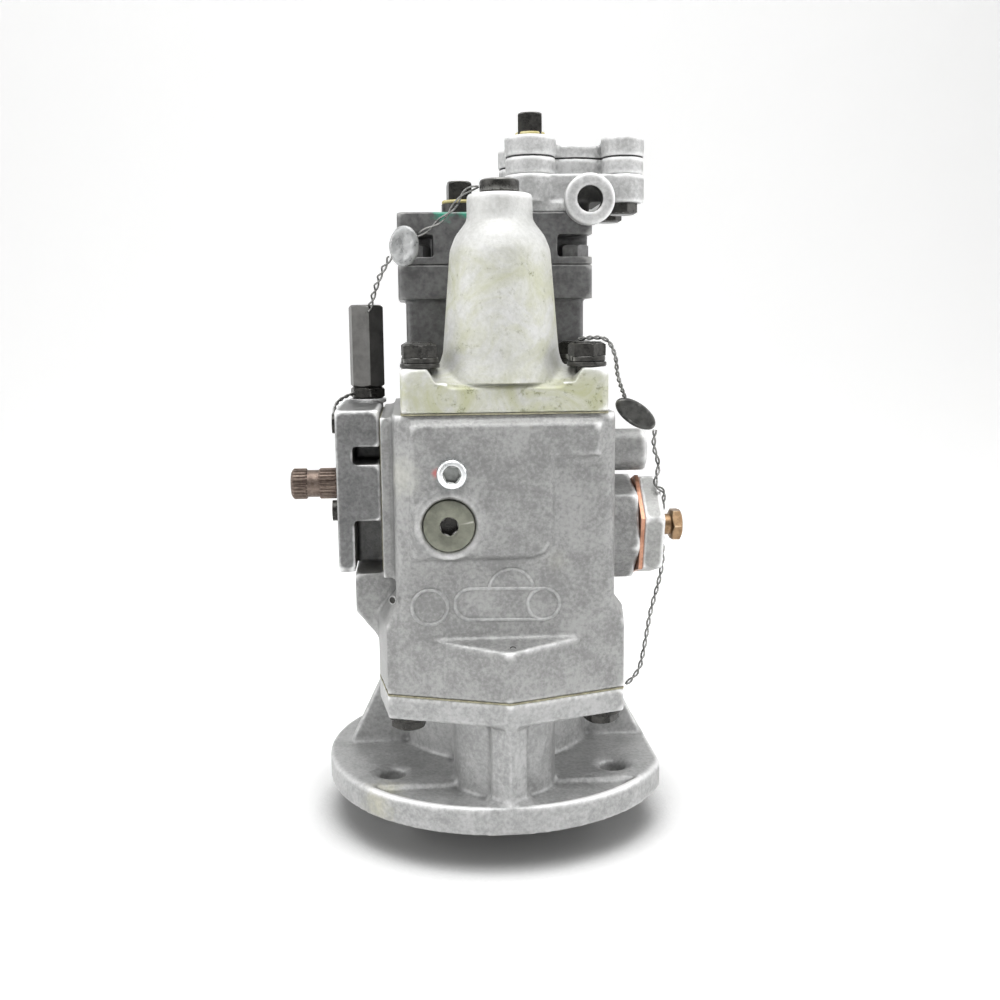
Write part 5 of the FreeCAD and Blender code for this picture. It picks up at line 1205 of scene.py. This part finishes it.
class PumpStage(bpy.types.PropertyGroup):
    """Where the photograph was taken from, and its light."""

    lens: FloatProperty(
        name="Lens", description="Focal length on a 36 mm sensor", default=40.7286, min=1.0, unit="CAMERA"
    )
    yaw: FloatProperty(
        name="Yaw", description="Turn of the view toward +X", default=math.radians(4.267), subtype="ANGLE"
    )
    pitch: FloatProperty(
        name="Pitch", description="How far the camera looks down", default=math.radians(8.787), subtype="ANGLE"
    )
    roll: FloatProperty(
        name="Roll", description="Tilt of the picture", default=math.radians(-0.53), subtype="ANGLE"
    )
    eye: FloatVectorProperty(
        name="Eye", description="Place of the camera", default=(-0.03429, -0.48797, 0.19644), subtype="TRANSLATION"
    )
    side_power: FloatProperty(
        name="Side Lamps", description="Power of each side lamp", default=7.0, min=0.0, unit="POWER"
    )
    top_power: FloatProperty(
        name="Top Lamp", description="Power of the lamp above", default=16.0, min=0.0, unit="POWER"
    )
    sky: FloatProperty(name="Sky", description="Strength of the even light", default=0.4, min=0.0)
    room: FloatProperty(
        name="Room", description="Brightness that gloss shows in front of the pump", default=0.58, min=0.0, max=1.0
    )


class PumpCastings(bpy.types.PropertyGroup):
    """How soft the castings' edges are."""

    large_voxel: FloatProperty(
        name="Large Voxel", description="Detail of the large castings, in millimetres", default=1.0, min=0.5
    )
    small_voxel: FloatProperty(
        name="Small Voxel", description="Detail of the small castings, in millimetres", default=0.7, min=0.4
    )
    large_steps: IntProperty(
        name="Large Smoothing", description="Smoothing steps of the large castings", default=7, min=0
    )
    small_steps: IntProperty(
        name="Small Smoothing", description="Smoothing steps of the small castings", default=4, min=0
    )


class PumpBolts(bpy.types.PropertyGroup):
    """Sizes of the fasteners, in millimetres."""

    bolt_across: FloatProperty(name="Bolt Across Flats", description="Hex of the cover bolts", default=12.7)
    bolt_radius: FloatProperty(name="Bolt Radius", description="Shank of the cover bolts", default=4.0)
    small_across: FloatProperty(
        name="Small Across Flats", description="Hex of the gear pump's and the damper's bolts", default=11.0
    )
    plug_socket: FloatProperty(name="Plug Socket", description="Hex socket of the plug", default=6.4)


class PumpThrottle(bpy.types.PropertyGroup):
    """The throttle shaft's serrations."""

    teeth: IntProperty(name="Teeth", description="Serrations round the shaft", default=24, min=6)
    tooth_depth: FloatProperty(name="Tooth Depth", description="Depth in millimetres", default=0.7)


class PumpWires(bpy.types.PropertyGroup):
    """The twisted lockwire."""

    strand: FloatProperty(name="Strand", description="Radius of a strand", default=0.0004, unit="LENGTH")


class PUMP_PT_sidebar(bpy.types.Panel):
    """The pump's steps in the sidebar"""

    bl_idname = "PUMP_PT_sidebar"
    bl_label = "Fuel Pump"
    bl_space_type = "VIEW_3D"
    bl_region_type = "UI"
    bl_category = "Fuel Pump"

    def draw(self, context):
        for name in SETTINGS:
            settings = getattr(context.scene, name)
            box = self.layout.box()
            for prop in settings.__annotations__:
                box.prop(settings, prop)
        for operator in OPERATORS:
            self.layout.operator(operator.bl_idname)


OPERATORS = [
    PUMP_OT_stage, PUMP_OT_finishes, PUMP_OT_castings, PUMP_OT_marks, PUMP_OT_bolts, PUMP_OT_plugs,
    PUMP_OT_throttle, PUMP_OT_wires,
]
SETTINGS = {
    "pump_stage": PumpStage,
    "pump_castings": PumpCastings,
    "pump_bolts": PumpBolts,
    "pump_throttle": PumpThrottle,
    "pump_wires": PumpWires,
}


def register():
    """Registers the classes and their settings."""
    for cls in (*SETTINGS.values(), *OPERATORS, PUMP_PT_sidebar):
        bpy.utils.register_class(cls)
    for name, cls in SETTINGS.items():
        setattr(bpy.types.Scene, name, PointerProperty(type=cls))


def unregister():
    """Takes the classes and their settings away."""
    for name in SETTINGS:
        delattr(bpy.types.Scene, name)
    for cls in (PUMP_PT_sidebar, *reversed(OPERATORS), *SETTINGS.values()):
        bpy.utils.unregister_class(cls)


def main():
    """Makes everything in order."""
    register()
    bpy.ops.pump.stage()
    bpy.ops.pump.finishes()
    bpy.ops.pump.castings()
    bpy.ops.pump.marks()
    bpy.ops.pump.bolts()
    bpy.ops.pump.plugs()
    bpy.ops.pump.throttle()
    bpy.ops.pump.wires()


if __name__ == "__main__":
    main()
